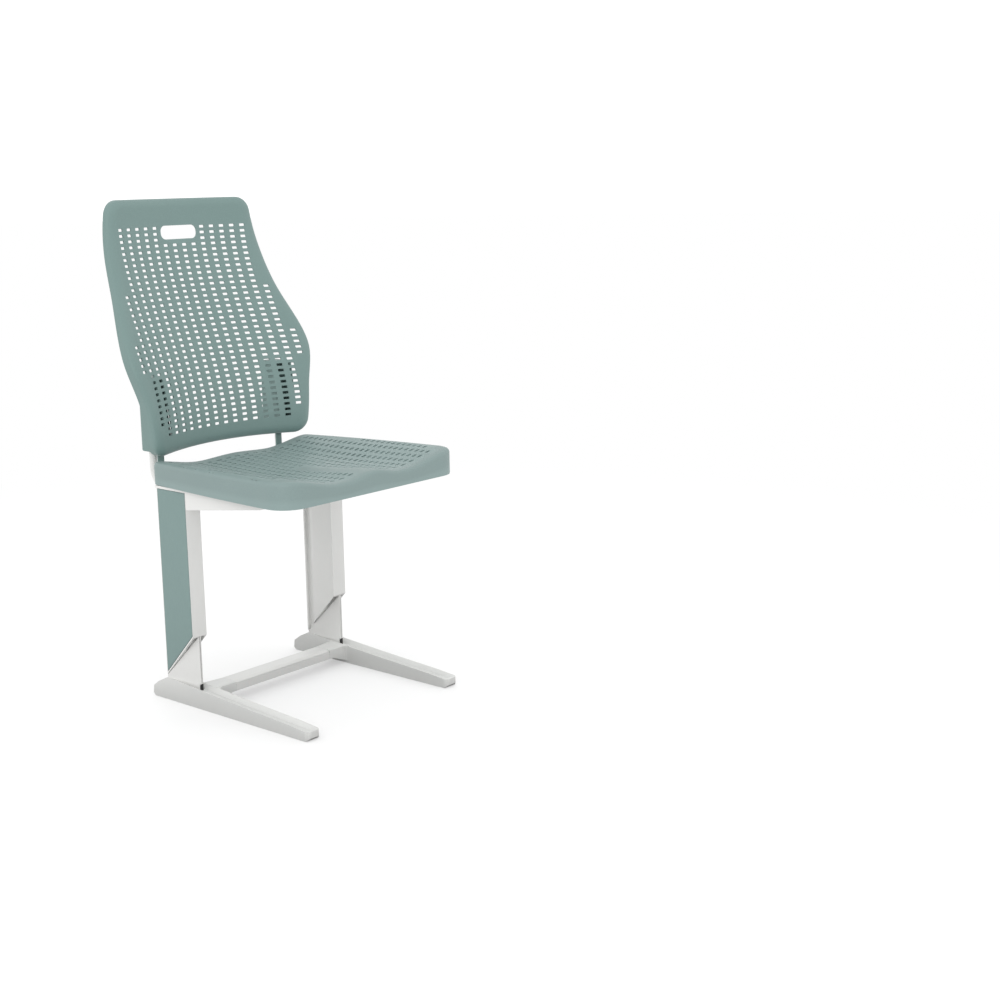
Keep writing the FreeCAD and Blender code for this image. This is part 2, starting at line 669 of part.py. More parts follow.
SLEEVE_SCREWS = (458.0, 548.0)
SEAT_SCREW_X = 110.0
SEAT_SCREW_Y = (-105.0, 75.0)


def cross_rail(name, middle):
    """Channel between the arms, open underneath and drilled for two seat screws."""
    bar = doc.addObject("Part::Box", f"{name}_bar")
    bar.setExpression("Length", bound("2 * leg_inner"))
    bar.Width = 30.0
    bar.setExpression("Height", bound("rail_top - rail_bottom"))
    bar.setExpression("Placement.Base.x", bound("-leg_inner"))
    bar.Placement.Base.y = middle - 15.0
    bar.setExpression("Placement.Base.z", bound("rail_bottom"))
    holes = []
    for side_name, side in SIDES:
        hole = doc.addObject("Part::Cylinder", f"{name}_hole_{side_name}")
        hole.Radius = 3.3
        hole.Height = 20.0
        hole.Placement.Base = Vector(side * SEAT_SCREW_X, middle, size("rail_bottom") - 5)
        holes.append(hole)
    channel = doc.addObject("Part::Box", f"{name}_channel")
    channel.setExpression("Length", bound("2 * leg_inner - 2 * rail_wall"))
    channel.setExpression("Width", bound("30 - 2 * rail_wall"))
    channel.setExpression("Height", bound("rail_top - rail_bottom"))
    channel.setExpression("Placement.Base.x", bound("rail_wall - leg_inner"))
    channel.Placement.Base.y = middle - 15.0 + size("rail_wall")
    channel.setExpression("Placement.Base.z", bound("rail_bottom - rail_wall"))
    both = doc.addObject("Part::MultiFuse", f"{name}_holes")
    both.Shapes = holes + [channel]
    rail = doc.addObject("Part::Cut", f"{name}_rail")
    rail.Base = bar
    rail.Tool = both
    doc.recompute()
    return keep(rail, name)


# ---------------------------------------------------------------- seat

def seat_top(x, y):
    """Top of the seat: two thigh troughs with a ridge between them at the front, sides rolled up."""
    across = abs(x)
    front, back = size("seat_front"), size("seat_back")
    backward = (y - front) / (back - front)
    rise = (18 - 4 * backward) * ease(80, 195, across)
    ridge = 9 * (1 - ease(0, 64, across)) * (1 - ease(front + 22, front + 190, y))
    rear_ridge = 3.5 * (1 - ease(0, 80, across)) * ease(back - 90, back, y)
    dish = 6.5 * math.sin(math.pi * min(max(backward, 0.0), 1.0)) * (1 - ease(60, 200, across))
    return size("seat_level") + 1 - 2 * backward + rise + ridge + rear_ridge - dish


def seat_outline():
    front, back = size("seat_front"), size("seat_back")
    wide, narrow = size("seat_half"), size("seat_half_back")
    low = size("seat_bottom")
    middle = (front + back) / 2
    bulge = (wide + narrow) / 2 + 4.5
    corners = [Vector(x, y, low) for x, y in ((wide, front), (narrow, back), (-narrow, back), (-wide, front))]
    sides = [Part.Arc(corners[0], Vector(bulge, middle, low), corners[1]).toShape(),
             Part.makeLine(corners[1], corners[2]),
             Part.Arc(corners[2], Vector(-bulge, middle, low), corners[3]).toShape(),
             Part.makeLine(corners[3], corners[0])]
    prism = Part.Face(Part.Wire(sides)).extrude(Vector(0, 0, 80))
    for radius, limit in ((42.0, (front - 1, front + 1)), (20.0, (back - 1, back + 1))):
        corner = [edge for edge in prism.Edges if abs(ends(edge)[0].z - ends(edge)[1].z) > 70
                  and limit[0] < ends(edge)[0].y < limit[1]]
        prism = prism.makeFillet(radius, corner)
    return prism


def bottom_wire(prism, low):
    """The prism's outline on its flat underside."""
    face = [f for f in prism.Faces if f.BoundBox.ZLength < 0.01 and abs(f.BoundBox.ZMin - low) < 0.01][0]
    return face.OuterWire


def seat_shell():
    """Thin top with a deep skirt and four screw bosses."""
    wall = size("seat_wall")
    low = size("seat_bottom")
    prism = seat_outline()
    top = face_through(lambda x, y: Vector(x, y, seat_top(x, y)), (-235, 235), (-275, 150))
    under_top = top.extrude(Vector(0, 0, -120))
    outside = under_top.common(prism)
    inner_wire = bottom_wire(prism, low).makeOffset2D(-wall)
    inner_prism = Part.Face(inner_wire).extrude(Vector(0, 0, 100))
    inner_prism.translate(Vector(0, 0, -10))
    lowered = under_top.copy()
    lowered.translate(Vector(0, 0, -wall))
    hollow = lowered.common(inner_prism)
    shell = outside.cut(hollow)
    base = size("rail_top")
    for x in (-SEAT_SCREW_X, SEAT_SCREW_X):
        for y in SEAT_SCREW_Y:
            boss = rod_between(Vector(x, y, base), Vector(x, y, seat_top(x, y) - 1), 7.0)
            shell = shell.fuse(boss)
            shell = shell.cut(rod_between(Vector(x, y, base - 1), Vector(x, y, base + 12), 3.0))
    return feature("seat_shell", shell)


def seat_screws():
    under_head = size("rail_top - rail_wall")
    screws = [screw(Vector(x, y, under_head), Vector(0, 0, 1), 5.5, 3.2, 2.95, 13.0)
              for x in (-SEAT_SCREW_X, SEAT_SCREW_X) for y in SEAT_SCREW_Y]
    return feature("seat_screws", Part.makeCompound(screws))


# ---------------------------------------------------------------- backrest

def back_middle(z):
    """Front of the backrest on the middle plane: upright below, leaning back, upright again at the top."""
    return size("back_foot") + size("back_lean") * ease(450, 840, z)


def back_dish(z):
    """How far the front is hollowed at 160 mm either side of the middle."""
    return 28.6 + 8.0 * math.cos(math.pi * (z - 540) / 320)


def back_front(x, z):
    return back_middle(z) - back_dish(z) * (x / 160.0) ** 2


def back_rear(x, z):
    """Back edge of the skirt, which is deeper at the sides than at the middle."""
    side_extra = 13.4 - 9.8 * ease(560, 820, z)
    return back_middle(z) + size("skirt_deep") - (back_dish(z) - side_extra) * (x / 160.0) ** 2


def back_outline(inset):
    """Front view: waisted above and below a widest line a third of the way up."""
    low, high = size("back_bottom") + inset, size("back_top") - inset
    half_widths = ((low, 181.2), (525, 191.6), (608, 206.6), (717, 185.8), (790, 174.4), (high, 161.0))
    right = [Vector(half - inset, 60, z) for z, half in half_widths]
    left = [Vector(-spot.x, 60, spot.z) for spot in right]
    curves = []
    for spots in (right, left[::-1]):
        curve = Part.BSplineCurve()
        curve.interpolate(spots)
        curves.append(curve.toShape())
    across_top = Part.makeLine(right[-1], left[-1])
    sag = Vector(0, 60, low + 4)
    across_bottom = Part.Arc(left[0], sag, right[0]).toShape()
    wire = Part.Wire([curves[0], across_top, curves[1], across_bottom])
    prism = Part.Face(wire).extrude(Vector(0, 260, 0))
    corner = [edge for edge in prism.Edges if abs(ends(edge)[0].y - ends(edge)[1].y) > 200]
    lower = [edge for edge in corner if ends(edge)[0].z < 600]
    prism = prism.makeFillet(28.0 - inset, lower)
    upper = [edge for edge in prism.Edges
             if abs(ends(edge)[0].y - ends(edge)[1].y) > 200 and ends(edge)[0].z > high - 1]
    return prism.makeFillet(30.0 - inset, upper)


def backrest_shell():
    """Dished panel with a skirt all round, a hand slot, and a sleeve each side for the rods."""
    wall = size("back_wall")
    front = face_through(lambda x, z: Vector(x, back_front(x, z), z), (-240, 240), (396, 900), 20)
    rear = face_through(lambda x, z: Vector(x, back_rear(x, z), z), (-240, 240), (396, 900), 20)
    behind_front = front.extrude(Vector(0, 110, 0))
    before_rear = rear.extrude(Vector(0, -110, 0))
    outside = behind_front.common(before_rear).common(back_outline(0))
    inner = behind_front.copy()
    inner.translate(Vector(0, wall, 0))
    shell = outside.cut(inner.common(back_outline(wall)))
    within = behind_front.copy()
    within.translate(Vector(0, 1.0, 0))
    for _, side in SIDES:
        shell = shell.fuse(sleeve(side).common(within))
        shell = shell.cut(sleeve_hollow(side, inner))
    half, low, high = size("slot_half"), size("slot_low"), size("slot_high")
    slot = block(-half, half, 100, 320, low, high)
    corners = [edge for edge in slot.Edges if abs(ends(edge)[0].y - ends(edge)[1].y) > 100]
    shell = shell.cut(slot.makeFillet(9.0, corners))
    return feature("backrest_shell", shell)


def sleeve(side):
    """Tall box with a rounded outer back corner, and a tongue that goes on down inside the rod."""
    near, far = side * size("sleeve_inner"), side * size("sleeve_outer")
    left, right = min(near, far), max(near, far)
    back, low, high = size("sleeve_back"), size("sleeve_bottom"), size("sleeve_top")
    profile = [Vector(left, y, z) for y, z in
               ((90, low), (back, low), (back, high - 14), (back - 14, high), (90, high), (90, low))]
    box = Part.Face(Part.makePolygon(profile)).extrude(Vector(right - left, 0, 0))
    upright = [edge for edge in box.Edges
               if abs(ends(edge)[0].z - ends(edge)[1].z) > 50 and ends(edge)[0].y > back - 1
               and abs(ends(edge)[0].x - far) < 1]
    box = box.makeFillet(11.0, upright)
    tongue_sides = sorted((side * size("tongue_inner"), side * size("tongue_outer")))
    tongue = block(*tongue_sides, size("rod_back - rod_radius") - 5.2,
                   size("rod_back - rod_radius") - 2.0, 402, low + 2)
    return box.fuse(tongue)


def sleeve_hollow(side, inner):
    """Bore for the rod, and open chambers between three ribs."""
    middle = side * size("rod_mid")
    back = size("rod_back")
    bore = rod_between(Vector(middle, back, 300), Vector(middle, back, size("rod_top") + 1),
                       size("rod_radius") + 0.15)
    near, far = side * (size("sleeve_inner") + 3), side * (size("sleeve_outer") - 4)
    left, right = min(near, far), max(near, far)
    chambers = [block(left, right, 100, size("sleeve_back") - 5, low, high)
                for low, high in ((463, 543), (553, 565))]
    hollow = bore
    for chamber in chambers:
        hollow = hollow.fuse(chamber.common(inner))
    for height in SLEEVE_SCREWS:
        hollow = hollow.fuse(rod_between(Vector(middle, size("rod_back"), height),
                                         Vector(middle, size("sleeve_back") + 1, height), 2.6))
    return hollow


def backrest_screws():
    screws = [screw(Vector(side * size("rod_mid"), size("sleeve_back"), height), Vector(0, -1, 0),
                    4.5, 2.8, 2.5, 19.0)
              for _, side in SIDES for height in SLEEVE_SCREWS]
    return feature("backrest_screws", Part.makeCompound(screws))


# ---------------------------------------------------------------- pads, plugs and bolts of the floor frame

def foot_pads(name, side):
    """Two soft strips let into the underside of each foot."""
    middle = side * size("column_mid")
    strips = [block(middle - 6.5, middle + 6.5, size(start), size(start) + PAD_LONG, 0, size("pad_thick"))
              for start in PAD_STARTS]
    return feature(f"foot_pads_{name}", Part.makeCompound(strips))


def riser_plug(name, side):
    """Black plug that closes the riser's front corner, its top sloping up to the front."""
    middle = side * size("column_mid")
    front, back = size("leg_front") - 0.9, size("leg_front + plug_long") - 0.1
    low, high = size("plug_low"), size("plug_low + plug_tall") - 0.1
    profile = [Vector(middle - 2.6, y, z)
               for y, z in ((front, low), (back, low + 0.5), (back, high - 3), (front, high), (front, low))]
    plug = Part.Face(Part.makePolygon(profile)).extrude(Vector(5.2, 0, 0))
    edges = [edge for edge in plug.Edges if edge.BoundBox.YMax < front + 0.01 and edge.BoundBox.ZLength > 1]
    return feature(f"riser_plug_{name}", plug.makeFillet(0.8, edges))


def foot_bolts():
    bolts = [screw(Vector(side * size("column_mid"), size(COLUMN_BOLT_Y), 9), Vector(0, 0, 1),
                   6.5, 6.0, 3.95, 40.0) for _, side in SIDES]
    return feature("foot_bolts", Part.makeCompound(bolts))


def crossbar_bolts():
    bolts = []
    for _, side in SIDES:
        for depth in (size("bar_front") + 12, size("bar_back") - 12):
            head_at = Vector(side * (size("bar_half") - 5), depth, size("bar_bottom + bar_bolt_rise"))
            bolts.append(screw(head_at, Vector(side, 0, 0), 5.0, 5.0, 3.0, 42.0))
    return feature("crossbar_bolts", Part.makeCompound(bolts))


for side_name, side_sign in SIDES:
    foot_pads(side_name, side_sign)
    riser_plug(side_name, side_sign)
    leg_shell(side_name, side_sign)
    leg_panel(side_name, side_sign)
    guide_bushes(side_name, side_sign)
    nut_plate(side_name, side_sign)
    clamp_bolts(side_name, side_sign)
    seat_arm(side_name, side_sign)
    back_rod(side_name, side_sign)
foot_bolts()
crossbar_bolts()
for rail_name, rail_middle in zip(("front_cross_rail", "rear_cross_rail"), SEAT_SCREW_Y):
    cross_rail(rail_name, rail_middle)
seat_shell()
seat_screws()
backrest_shell()
backrest_screws()


# ---------------------------------------------------------------- checking and writing

def write_parts():
    doc.recompute()
    for item in doc.Objects:
        if "Invalid" in item.State or "Error" in item.State:
            sys.exit(f"{item.Label} failed: {item.State}")
    os.makedirs("parts", exist_ok=True)
    for node, item in sub_parts:
        shape = item.Shape
        if shape.isNull() or not shape.isValid():
            sys.exit(f"{node}: shape is not valid")
        shape.exportStep(f"parts/{node}.step")
        print(f"{node}: {len(shape.Solids)} solid(s), {shape.Volume / 1000:.2f} cm3")


write_parts()
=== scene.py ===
import math

import bmesh
import bpy
from mathutils import Matrix, Vector
from mathutils.geometry import delaunay_2d_cdt


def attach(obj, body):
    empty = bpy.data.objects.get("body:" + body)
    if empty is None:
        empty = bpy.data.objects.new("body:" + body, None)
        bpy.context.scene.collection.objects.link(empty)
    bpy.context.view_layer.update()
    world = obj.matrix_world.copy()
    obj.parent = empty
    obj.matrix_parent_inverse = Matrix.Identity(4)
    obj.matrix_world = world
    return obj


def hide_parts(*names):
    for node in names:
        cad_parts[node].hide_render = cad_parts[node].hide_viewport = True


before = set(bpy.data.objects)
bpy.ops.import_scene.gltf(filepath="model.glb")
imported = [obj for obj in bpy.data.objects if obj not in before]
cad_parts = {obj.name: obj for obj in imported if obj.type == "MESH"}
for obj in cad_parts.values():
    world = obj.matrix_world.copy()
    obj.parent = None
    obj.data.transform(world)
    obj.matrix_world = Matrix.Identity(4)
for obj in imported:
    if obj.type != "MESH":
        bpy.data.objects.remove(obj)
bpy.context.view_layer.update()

# Student chair, seat facing -Y. The CAD nodes make the metal frame; the perforated seat and backrest, whose
# CAD solids are plain skins, are built here as thin moulded sheets with real holes. The chair's sizes and
# places are in millimetres, scaled by MM; those of the floor, the light and the camera are in metres.

MM = 0.001
SEAT_BODY = "seat_frame"
SIDES = (("left", 1), ("right", -1))


# ---------------------------------------------------------------- meshes

def ease(start, end, value):
    """Smooth step from 0 at start to 1 at end."""
    part = min(max((value - start) / (end - start), 0.0), 1.0)
    return part * part * (3 - 2 * part)


def make_object(name, mesh, body):
    """A smooth-shaded object that rides on the body."""
    obj = bpy.data.objects.new(name, mesh)
    bpy.context.scene.collection.objects.link(obj)
    mesh.polygons.foreach_set("use_smooth", [True] * len(mesh.polygons))
    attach(obj, body)
    return obj


def solid_from_faces(name, points, faces, body):
    """A mesh object from points in millimetres, with its faces turned outwards."""
    mesh = bpy.data.meshes.new(name)
    mesh.from_pydata([Vector(point) * MM for point in points], [], faces)
    shape = bmesh.new()
    shape.from_mesh(mesh)
    bmesh.ops.remove_doubles(shape, verts=shape.verts, dist=0.01 * MM)
    bmesh.ops.recalc_face_normals(shape, faces=shape.faces)
    shape.to_mesh(mesh)
    shape.free()
    return make_object(name, mesh, body)


def add_bevel(obj, width, segments=2, angle=35):
    """Rounds the edges that are sharper than the angle, by width in millimetres."""
    bevel = obj.modifiers.new("edge_rounding", "BEVEL")
    bevel.width = width * MM
    bevel.segments = segments
    bevel.limit_method = "ANGLE"
    bevel.angle_limit = math.radians(angle)
    bevel.harden_normals = True


def rounded_slot(half_wide, half_high, radius, steps):
    """Corner-rounded rectangle round the origin, anticlockwise."""
    points = []
    for turn in range(4):
        corner_x = (half_wide - radius) * (1 if turn in (0, 3) else -1)
        corner_y = (half_high - radius) * (1 if turn in (0, 1) else -1)
        for step in range(steps + 1):
            angle = math.radians(90 * (turn + step / steps))
            points.append((corner_x + radius * math.cos(angle), corner_y + radius * math.sin(angle)))
    return points


CORNER_STEPS = 8


def round_corners(corners):
    """Closed outline through (u, v, radius) corners, each corner rounded with its radius."""
    points = []
    count = len(corners)
    for index, (u, v, radius) in enumerate(corners):
        here = Vector((u, v))
        if radius == 0:
            points.append(here)
            continue
        to_last = (Vector(corners[index - 1][:2]) - here).normalized()
        to_next = (Vector(corners[(index + 1) % count][:2]) - here).normalized()
        half_angle = to_last.angle(to_next) / 2
        centre = here + (to_last + to_next).normalized() * radius / math.sin(half_angle)
        start = here + to_last * radius / math.tan(half_angle)
        end = here + to_next * radius / math.tan(half_angle)
        sweep = (start - centre).angle_signed(end - centre)
        for step in range(CORNER_STEPS + 1):
            spoke = (start - centre).copy()
            spoke.rotate(Matrix.Rotation(-sweep * step / CORNER_STEPS, 2))
            points.append(centre + spoke)
    return points


def resample(points, spacing):
    """The closed outline with evenly spaced points."""
    count = len(points)
    lengths = [(points[(i + 1) % count] - points[i]).length for i in range(count)]
    total = sum(lengths)
    wanted = int(round(total / spacing))
    result, index, walked = [], 0, 0.0
    for step in range(wanted):
        target = total * step / wanted
        while walked + lengths[index] < target:
            walked += lengths[index]
            index += 1
        share = (target - walked) / lengths[index]
        result.append(points[index].lerp(points[(index + 1) % count], share))
    return result


def outward_normals(points):
    """Normals of an anticlockwise closed outline, pointing out of it."""
    normals = []
    for index, point in enumerate(points):
        along = points[(index + 1) % len(points)] - points[index - 1]
        normals.append(Vector((along.y, -along.x)).normalized())
    return normals


def inside(point, polygon):
    """True if the point is inside the polygon."""
    hit = False
    last = polygon[-1]
    for corner in polygon:
        if (corner[1] > point[1]) != (last[1] > point[1]):
            cross = (last[0] - corner[0]) * (point[1] - corner[1]) / (last[1] - corner[1]) + corner[0]
            if point[0] < cross:
                hit = not hit
        last = corner
    return hit


def rim_fall(distance, wide, deep):
    """Depth of a rim that rolls away as a quarter ellipse over the last stretch before the outline."""
    if distance >= wide:
        return 0.0
    return deep * (1 - math.sqrt(1 - ((wide - distance) / wide) ** 2))


FOLLOW_STEP, FOLLOW_CLEAR, GRID_CLEAR = 4.5, 1.5, 0.45
RIM_STEPS, SKIRT_STEPS = 6, 4
SHEET_EDGE_ROUNDING, SHEET_EDGE_ANGLE = 0.35, 50


def moulded_sheet(name, outline, holes, surface, skirt_depth, rim, rim_start, wall, spacing, grid):
    """A moulded sheet with real holes, a rolled rim and a skirt.

    outline is anticlockwise in the sheet's own plane, surface(u, v, depth) gives the 3-D point, rim(normal)
    the width and depth of the roll where the outline faces that way, and skirt_depth(u, v) how far the skirt
    reaches back from the unrolled face. The roll is meshed with the face up to rim_start from the outline.
    """
    edge = resample(outline, spacing)
    normals = outward_normals(edge)

    def rolled(spot):
        """Roll depth of a point of the face, from the nearest point of the outline."""
        nearest = min(range(len(edge)), key=lambda i: (edge[i] - spot).length_squared)
        distance = (edge[nearest] - spot).dot(normals[nearest])
        return rim_fall(max(distance, 0.0), *rim(normals[nearest]))

    inner_edge = [point - normal * rim_start for point, normal in zip(edge, normals)]
    flat, constraint_edges, hole_boxes = list(inner_edge), [], []
    constraint_edges += [(i, (i + 1) % len(flat)) for i in range(len(flat))]
    for hole in holes:
        first = len(flat)
        flat += [Vector(point) for point in hole]
        constraint_edges += [(first + i, first + (i + 1) % len(hole)) for i in range(len(hole))]
        us, vs = [p[0] for p in hole], [p[1] for p in hole]
        hole_boxes.append((min(us), max(us), min(vs), max(vs), hole))

    def clear_of_holes(spot, gap):
        return not any(low_u - gap < spot.x < high_u + gap and low_v - gap < spot.y < high_v + gap
                       for low_u, high_u, low_v, high_v, _ in hole_boxes)

    # free points of the mesh: rows that follow the outline over the roll, then a square grid
    fixed = list(flat)
    widest = max(rim(normal)[0] for normal in normals)
    follow = rim_start
    while follow < widest:
        follow += FOLLOW_STEP
        fixed += [point - normal * follow for point, normal in zip(edge, normals)
                  if clear_of_holes(point - normal * follow, FOLLOW_CLEAR)]
    clear = grid * GRID_CLEAR
    us, vs = [p.x for p in inner_edge], [p.y for p in inner_edge]
    for i in range(int((max(us) - min(us)) / grid) + 1):
        for j in range(int((max(vs) - min(vs)) / grid) + 1):
            spot = Vector((min(us) + (i + 0.5) * grid, min(vs) + (j + 0.5) * grid))
            if not inside(spot, inner_edge) or not clear_of_holes(spot, clear):
                continue
            if min((spot - point).length for point in edge) > follow + clear:
                fixed.append(spot)
    spots, _, faces, _, _, _ = delaunay_2d_cdt(fixed, constraint_edges, [], 0, 1e-5)
    kept = []
    for face in faces:
        middle = sum((spots[i] for i in face), Vector((0, 0))) / len(face)
        if not inside(middle, inner_edge):
            continue
        in_hole = any(low_u < middle.x < high_u and low_v < middle.y < high_v and inside(middle, hole)
                      for low_u, high_u, low_v, high_v, hole in hole_boxes)
        if not in_hole:
            kept.append(face)
    points = [surface(spot.x, spot.y, rolled(spot)) for spot in spots]
    ring = list(range(len(edge)))
    for step in range(1, RIM_STEPS + SKIRT_STEPS + 1):
        first = len(points)
        for point, normal in zip(edge, normals):
            wide, deep = rim(normal)
            start = math.asin(1 - rim_start / wide)
            angle = start + (math.pi / 2 - start) * min(step / RIM_STEPS, 1.0)
            spot = point - normal * wide * (1 - math.sin(angle))
            skirt = max(step - RIM_STEPS, 0) / SKIRT_STEPS
            depth = deep * (1 - math.cos(angle)) + (skirt_depth(point.x, point.y) - deep) * skirt
            points.append(surface(spot.x, spot.y, depth))
        new_ring = list(range(first, first + len(edge)))
        for i in range(len(edge)):
            following = (i + 1) % len(edge)
            kept.append((ring[i], new_ring[i], new_ring[following], ring[following]))
        ring = new_ring
    mesh = bpy.data.meshes.new(name)
    mesh.from_pydata([point * MM for point in points], [], kept)
    shape = bmesh.new()
    shape.from_mesh(mesh)
    loose = [vert for vert in shape.verts if not vert.link_faces]
    bmesh.ops.delete(shape, geom=loose, context="VERTS")
    bmesh.ops.recalc_face_normals(shape, faces=shape.faces)
    shape.to_mesh(mesh)
    shape.free()
    towards_face = (surface(0, outline[0].y, -1.0) - surface(0, outline[0].y, 0.0)).normalized()
    total = sum((p.normal * p.area for p in mesh.polygons), Vector())
    if total.dot(towards_face) < 0:
        mesh.flip_normals()
    obj = make_object(name, mesh, SEAT_BODY)
    thickness = obj.modifiers.new("wall", "SOLIDIFY")
    thickness.thickness = wall * MM
    thickness.offset = -1.0
    add_bevel(obj, SHEET_EDGE_ROUNDING, angle=SHEET_EDGE_ANGLE)
    return obj


# ---------------------------------------------------------------- materials

NOISE_LOW, NOISE_HIGH = 0.3, 0.7
EDGE_POINTINESS_START, EDGE_POINTINESS_END = 0.52, 0.62


class Recipe:
    """A node material under construction, with short helpers for the nodes it is made of."""

    def __init__(self, name):
        self.material = bpy.data.materials.new(name)
        self.material.use_nodes = True
        self.nodes = self.material.node_tree.nodes
        self.links = self.material.node_tree.links
        self.shader = self.nodes["Principled BSDF"]
        self.place = self.add("ShaderNodeTexCoord").outputs["Object"]

    def add(self, kind, **inputs):
        node = self.nodes.new(kind)
        for name, value in inputs.items():
            node.inputs[name.replace("_", " ")].default_value = value
        return node

    def noise(self, scale, detail=2.0, roughness=0.5):
        node = self.add("ShaderNodeTexNoise", Scale=scale, Detail=detail, Roughness=roughness)
        self.links.new(self.place, node.inputs["Vector"])
        return node.outputs["Fac"]

    def spread(self, value, low, high):
        """Maps the middle of a noise, where nearly all its values lie, onto the range low to high."""
        node = self.add("ShaderNodeMapRange")
        node.inputs["From Min"].default_value = NOISE_LOW
        node.inputs["From Max"].default_value = NOISE_HIGH
        node.inputs["To Min"].default_value = low
        node.inputs["To Max"].default_value = high
        self.links.new(value, node.inputs["Value"])
        return node.outputs["Result"]

    def blend(self, share, first, second):
        node = self.nodes.new("ShaderNodeMix")
        node.data_type = "RGBA"
        self.links.new(share, node.inputs["Factor"])
        for socket, colour in (("A", first), ("B", second)):
            target = [item for item in node.inputs if item.name == socket and item.type == "RGBA"][0]
            if isinstance(colour, tuple):
                target.default_value = (*colour, 1.0)
            else:
                self.links.new(colour, target)
        return [item for item in node.outputs if item.type == "RGBA"][0]

    def bump(self, height, strength, distance, under=None):
        node = self.add("ShaderNodeBump", Strength=strength, Distance=distance)
        self.links.new(height, node.inputs["Height"])
        if under is not None:
            self.links.new(under, node.inputs["Normal"])
        return node.outputs["Normal"]

    def finish(self, colour, roughness, normal=None, **fixed):
        self.links.new(colour, self.shader.inputs["Base Color"])
        self.links.new(roughness, self.shader.inputs["Roughness"])
        if normal is not None:
            self.links.new(normal, self.shader.inputs["Normal"])
        for name, value in fixed.items():
            self.shader.inputs[name.replace("_", " ")].default_value = value
        return self.material


def shade(colour, factor):
    return tuple(channel * factor for channel in colour)


def painted_edge_highlight(recipe, colour, highlight_colour, amount):
    """Edges a little lighter: a painted highlight along the sharp edges, found from the mesh's pointiness.
    """
    geometry = recipe.nodes.new("ShaderNodeNewGeometry")
    sharp = recipe.add("ShaderNodeMapRange")
    sharp.inputs["From Min"].default_value = EDGE_POINTINESS_START
    sharp.inputs["From Max"].default_value = EDGE_POINTINESS_END
    sharp.inputs["To Max"].default_value = amount
    recipe.links.new(geometry.outputs["Pointiness"], sharp.inputs["Value"])
    return recipe.blend(sharp.outputs["Result"], colour, highlight_colour)


def powder_coat(name, colour):
    """Satin powder coat: slight orange peel, cloudy roughness, a few faint scuffs."""
    recipe = Recipe(name)
    clouds = recipe.spread(recipe.noise(9.0, 3.0), 0, 1)
    cloudy = recipe.blend(clouds, shade(colour, 0.975), shade(colour, 1.015))
    scuff = recipe.spread(recipe.noise(38.0, 6.0, 0.7), -0.6, 0.22)
    dirty = recipe.blend(scuff, cloudy, shade(colour, 0.93))
    # painted highlight along the sharp edges of the powder coat
    final = painted_edge_highlight(recipe, dirty, shade(colour, 1.06), 0.5)
    peel = recipe.bump(recipe.noise(420.0, 2.0), 0.06, 0.0006)
    fine = recipe.bump(recipe.noise(1900.0, 1.0), 0.05, 0.0002, peel)
    roughness = recipe.spread(recipe.noise(24.0, 4.0), 0.36, 0.46)
    return recipe.finish(final, roughness, fine, Coat_Weight=0.08, Coat_Roughness=0.3)


def moulded_plastic(name, colour):
    """Sage green injection moulding with a fine leathered grain."""
    recipe = Recipe(name)
    clouds = recipe.spread(recipe.noise(6.0, 3.0), 0, 1)
    cloudy = recipe.blend(clouds, shade(colour, 0.965), shade(colour, 1.03))
    speck = recipe.blend(recipe.spread(recipe.noise(620.0, 2.0), 0, 1), shade(colour, 0.93), cloudy)
    # painted highlight along the sharp edges of the plastic
    final = painted_edge_highlight(recipe, speck, shade(colour, 1.18), 0.45)
    cells = recipe.add("ShaderNodeTexVoronoi", Scale=520.0)
    recipe.links.new(recipe.place, cells.inputs["Vector"])
    pebble = recipe.bump(cells.outputs["Distance"], 0.10, 0.0003)
    fine = recipe.bump(recipe.noise(1500.0, 2.0), 0.10, 0.0002, pebble)
    return recipe.finish(final, recipe.spread(recipe.noise(15.0, 4.0), 0.44, 0.56), fine)


def laminate(name, colour):
    """Matt coloured panel with a very fine brushed grain up and down."""
    recipe = Recipe(name)
    stretch = recipe.add("ShaderNodeMapping", Scale=(1.0, 1.0, 0.08))
    recipe.links.new(recipe.place, stretch.inputs["Vector"])
    streak = recipe.add("ShaderNodeTexNoise", Scale=900.0, Detail=3.0)
    recipe.links.new(stretch.outputs["Vector"], streak.inputs["Vector"])
    streaks = recipe.spread(streak.outputs["Fac"], 0, 1)
    grain = recipe.blend(streaks, shade(colour, 0.95), shade(colour, 1.03))
    cloudy = recipe.blend(recipe.spread(recipe.noise(7.0, 2.0), 0, 0.4), grain, shade(colour, 1.05))
    normal = recipe.bump(streak.outputs["Fac"], 0.05, 0.0002)
    return recipe.finish(cloudy, recipe.spread(recipe.noise(30.0, 3.0), 0.42, 0.52), normal)


def rubbery(name, colour):
    """Dull black plastic, a little uneven in tone and grain."""
    recipe = Recipe(name)
    clouds = recipe.spread(recipe.noise(60.0, 4.0), 0, 1)
    cloudy = recipe.blend(clouds, shade(colour, 0.7), shade(colour, 1.4))
    grain = recipe.bump(recipe.noise(1100.0, 3.0), 0.25, 0.0003)
    return recipe.finish(cloudy, recipe.spread(recipe.noise(80.0, 3.0), 0.55, 0.75), grain)


def plated_steel(name, colour):
    """Zinc plate, faintly mottled in tone and gloss."""
    recipe = Recipe(name)
    mottling = recipe.spread(recipe.noise(180.0, 5.0), 0, 1)
    mottle = recipe.blend(mottling, shade(colour, 0.8), shade(colour, 1.1))
    brushed = recipe.bump(recipe.noise(900.0, 4.0), 0.12, 0.0002)
    return recipe.finish(mottle, recipe.spread(recipe.noise(120.0, 4.0), 0.25, 0.42), brushed, Metallic=1.0)


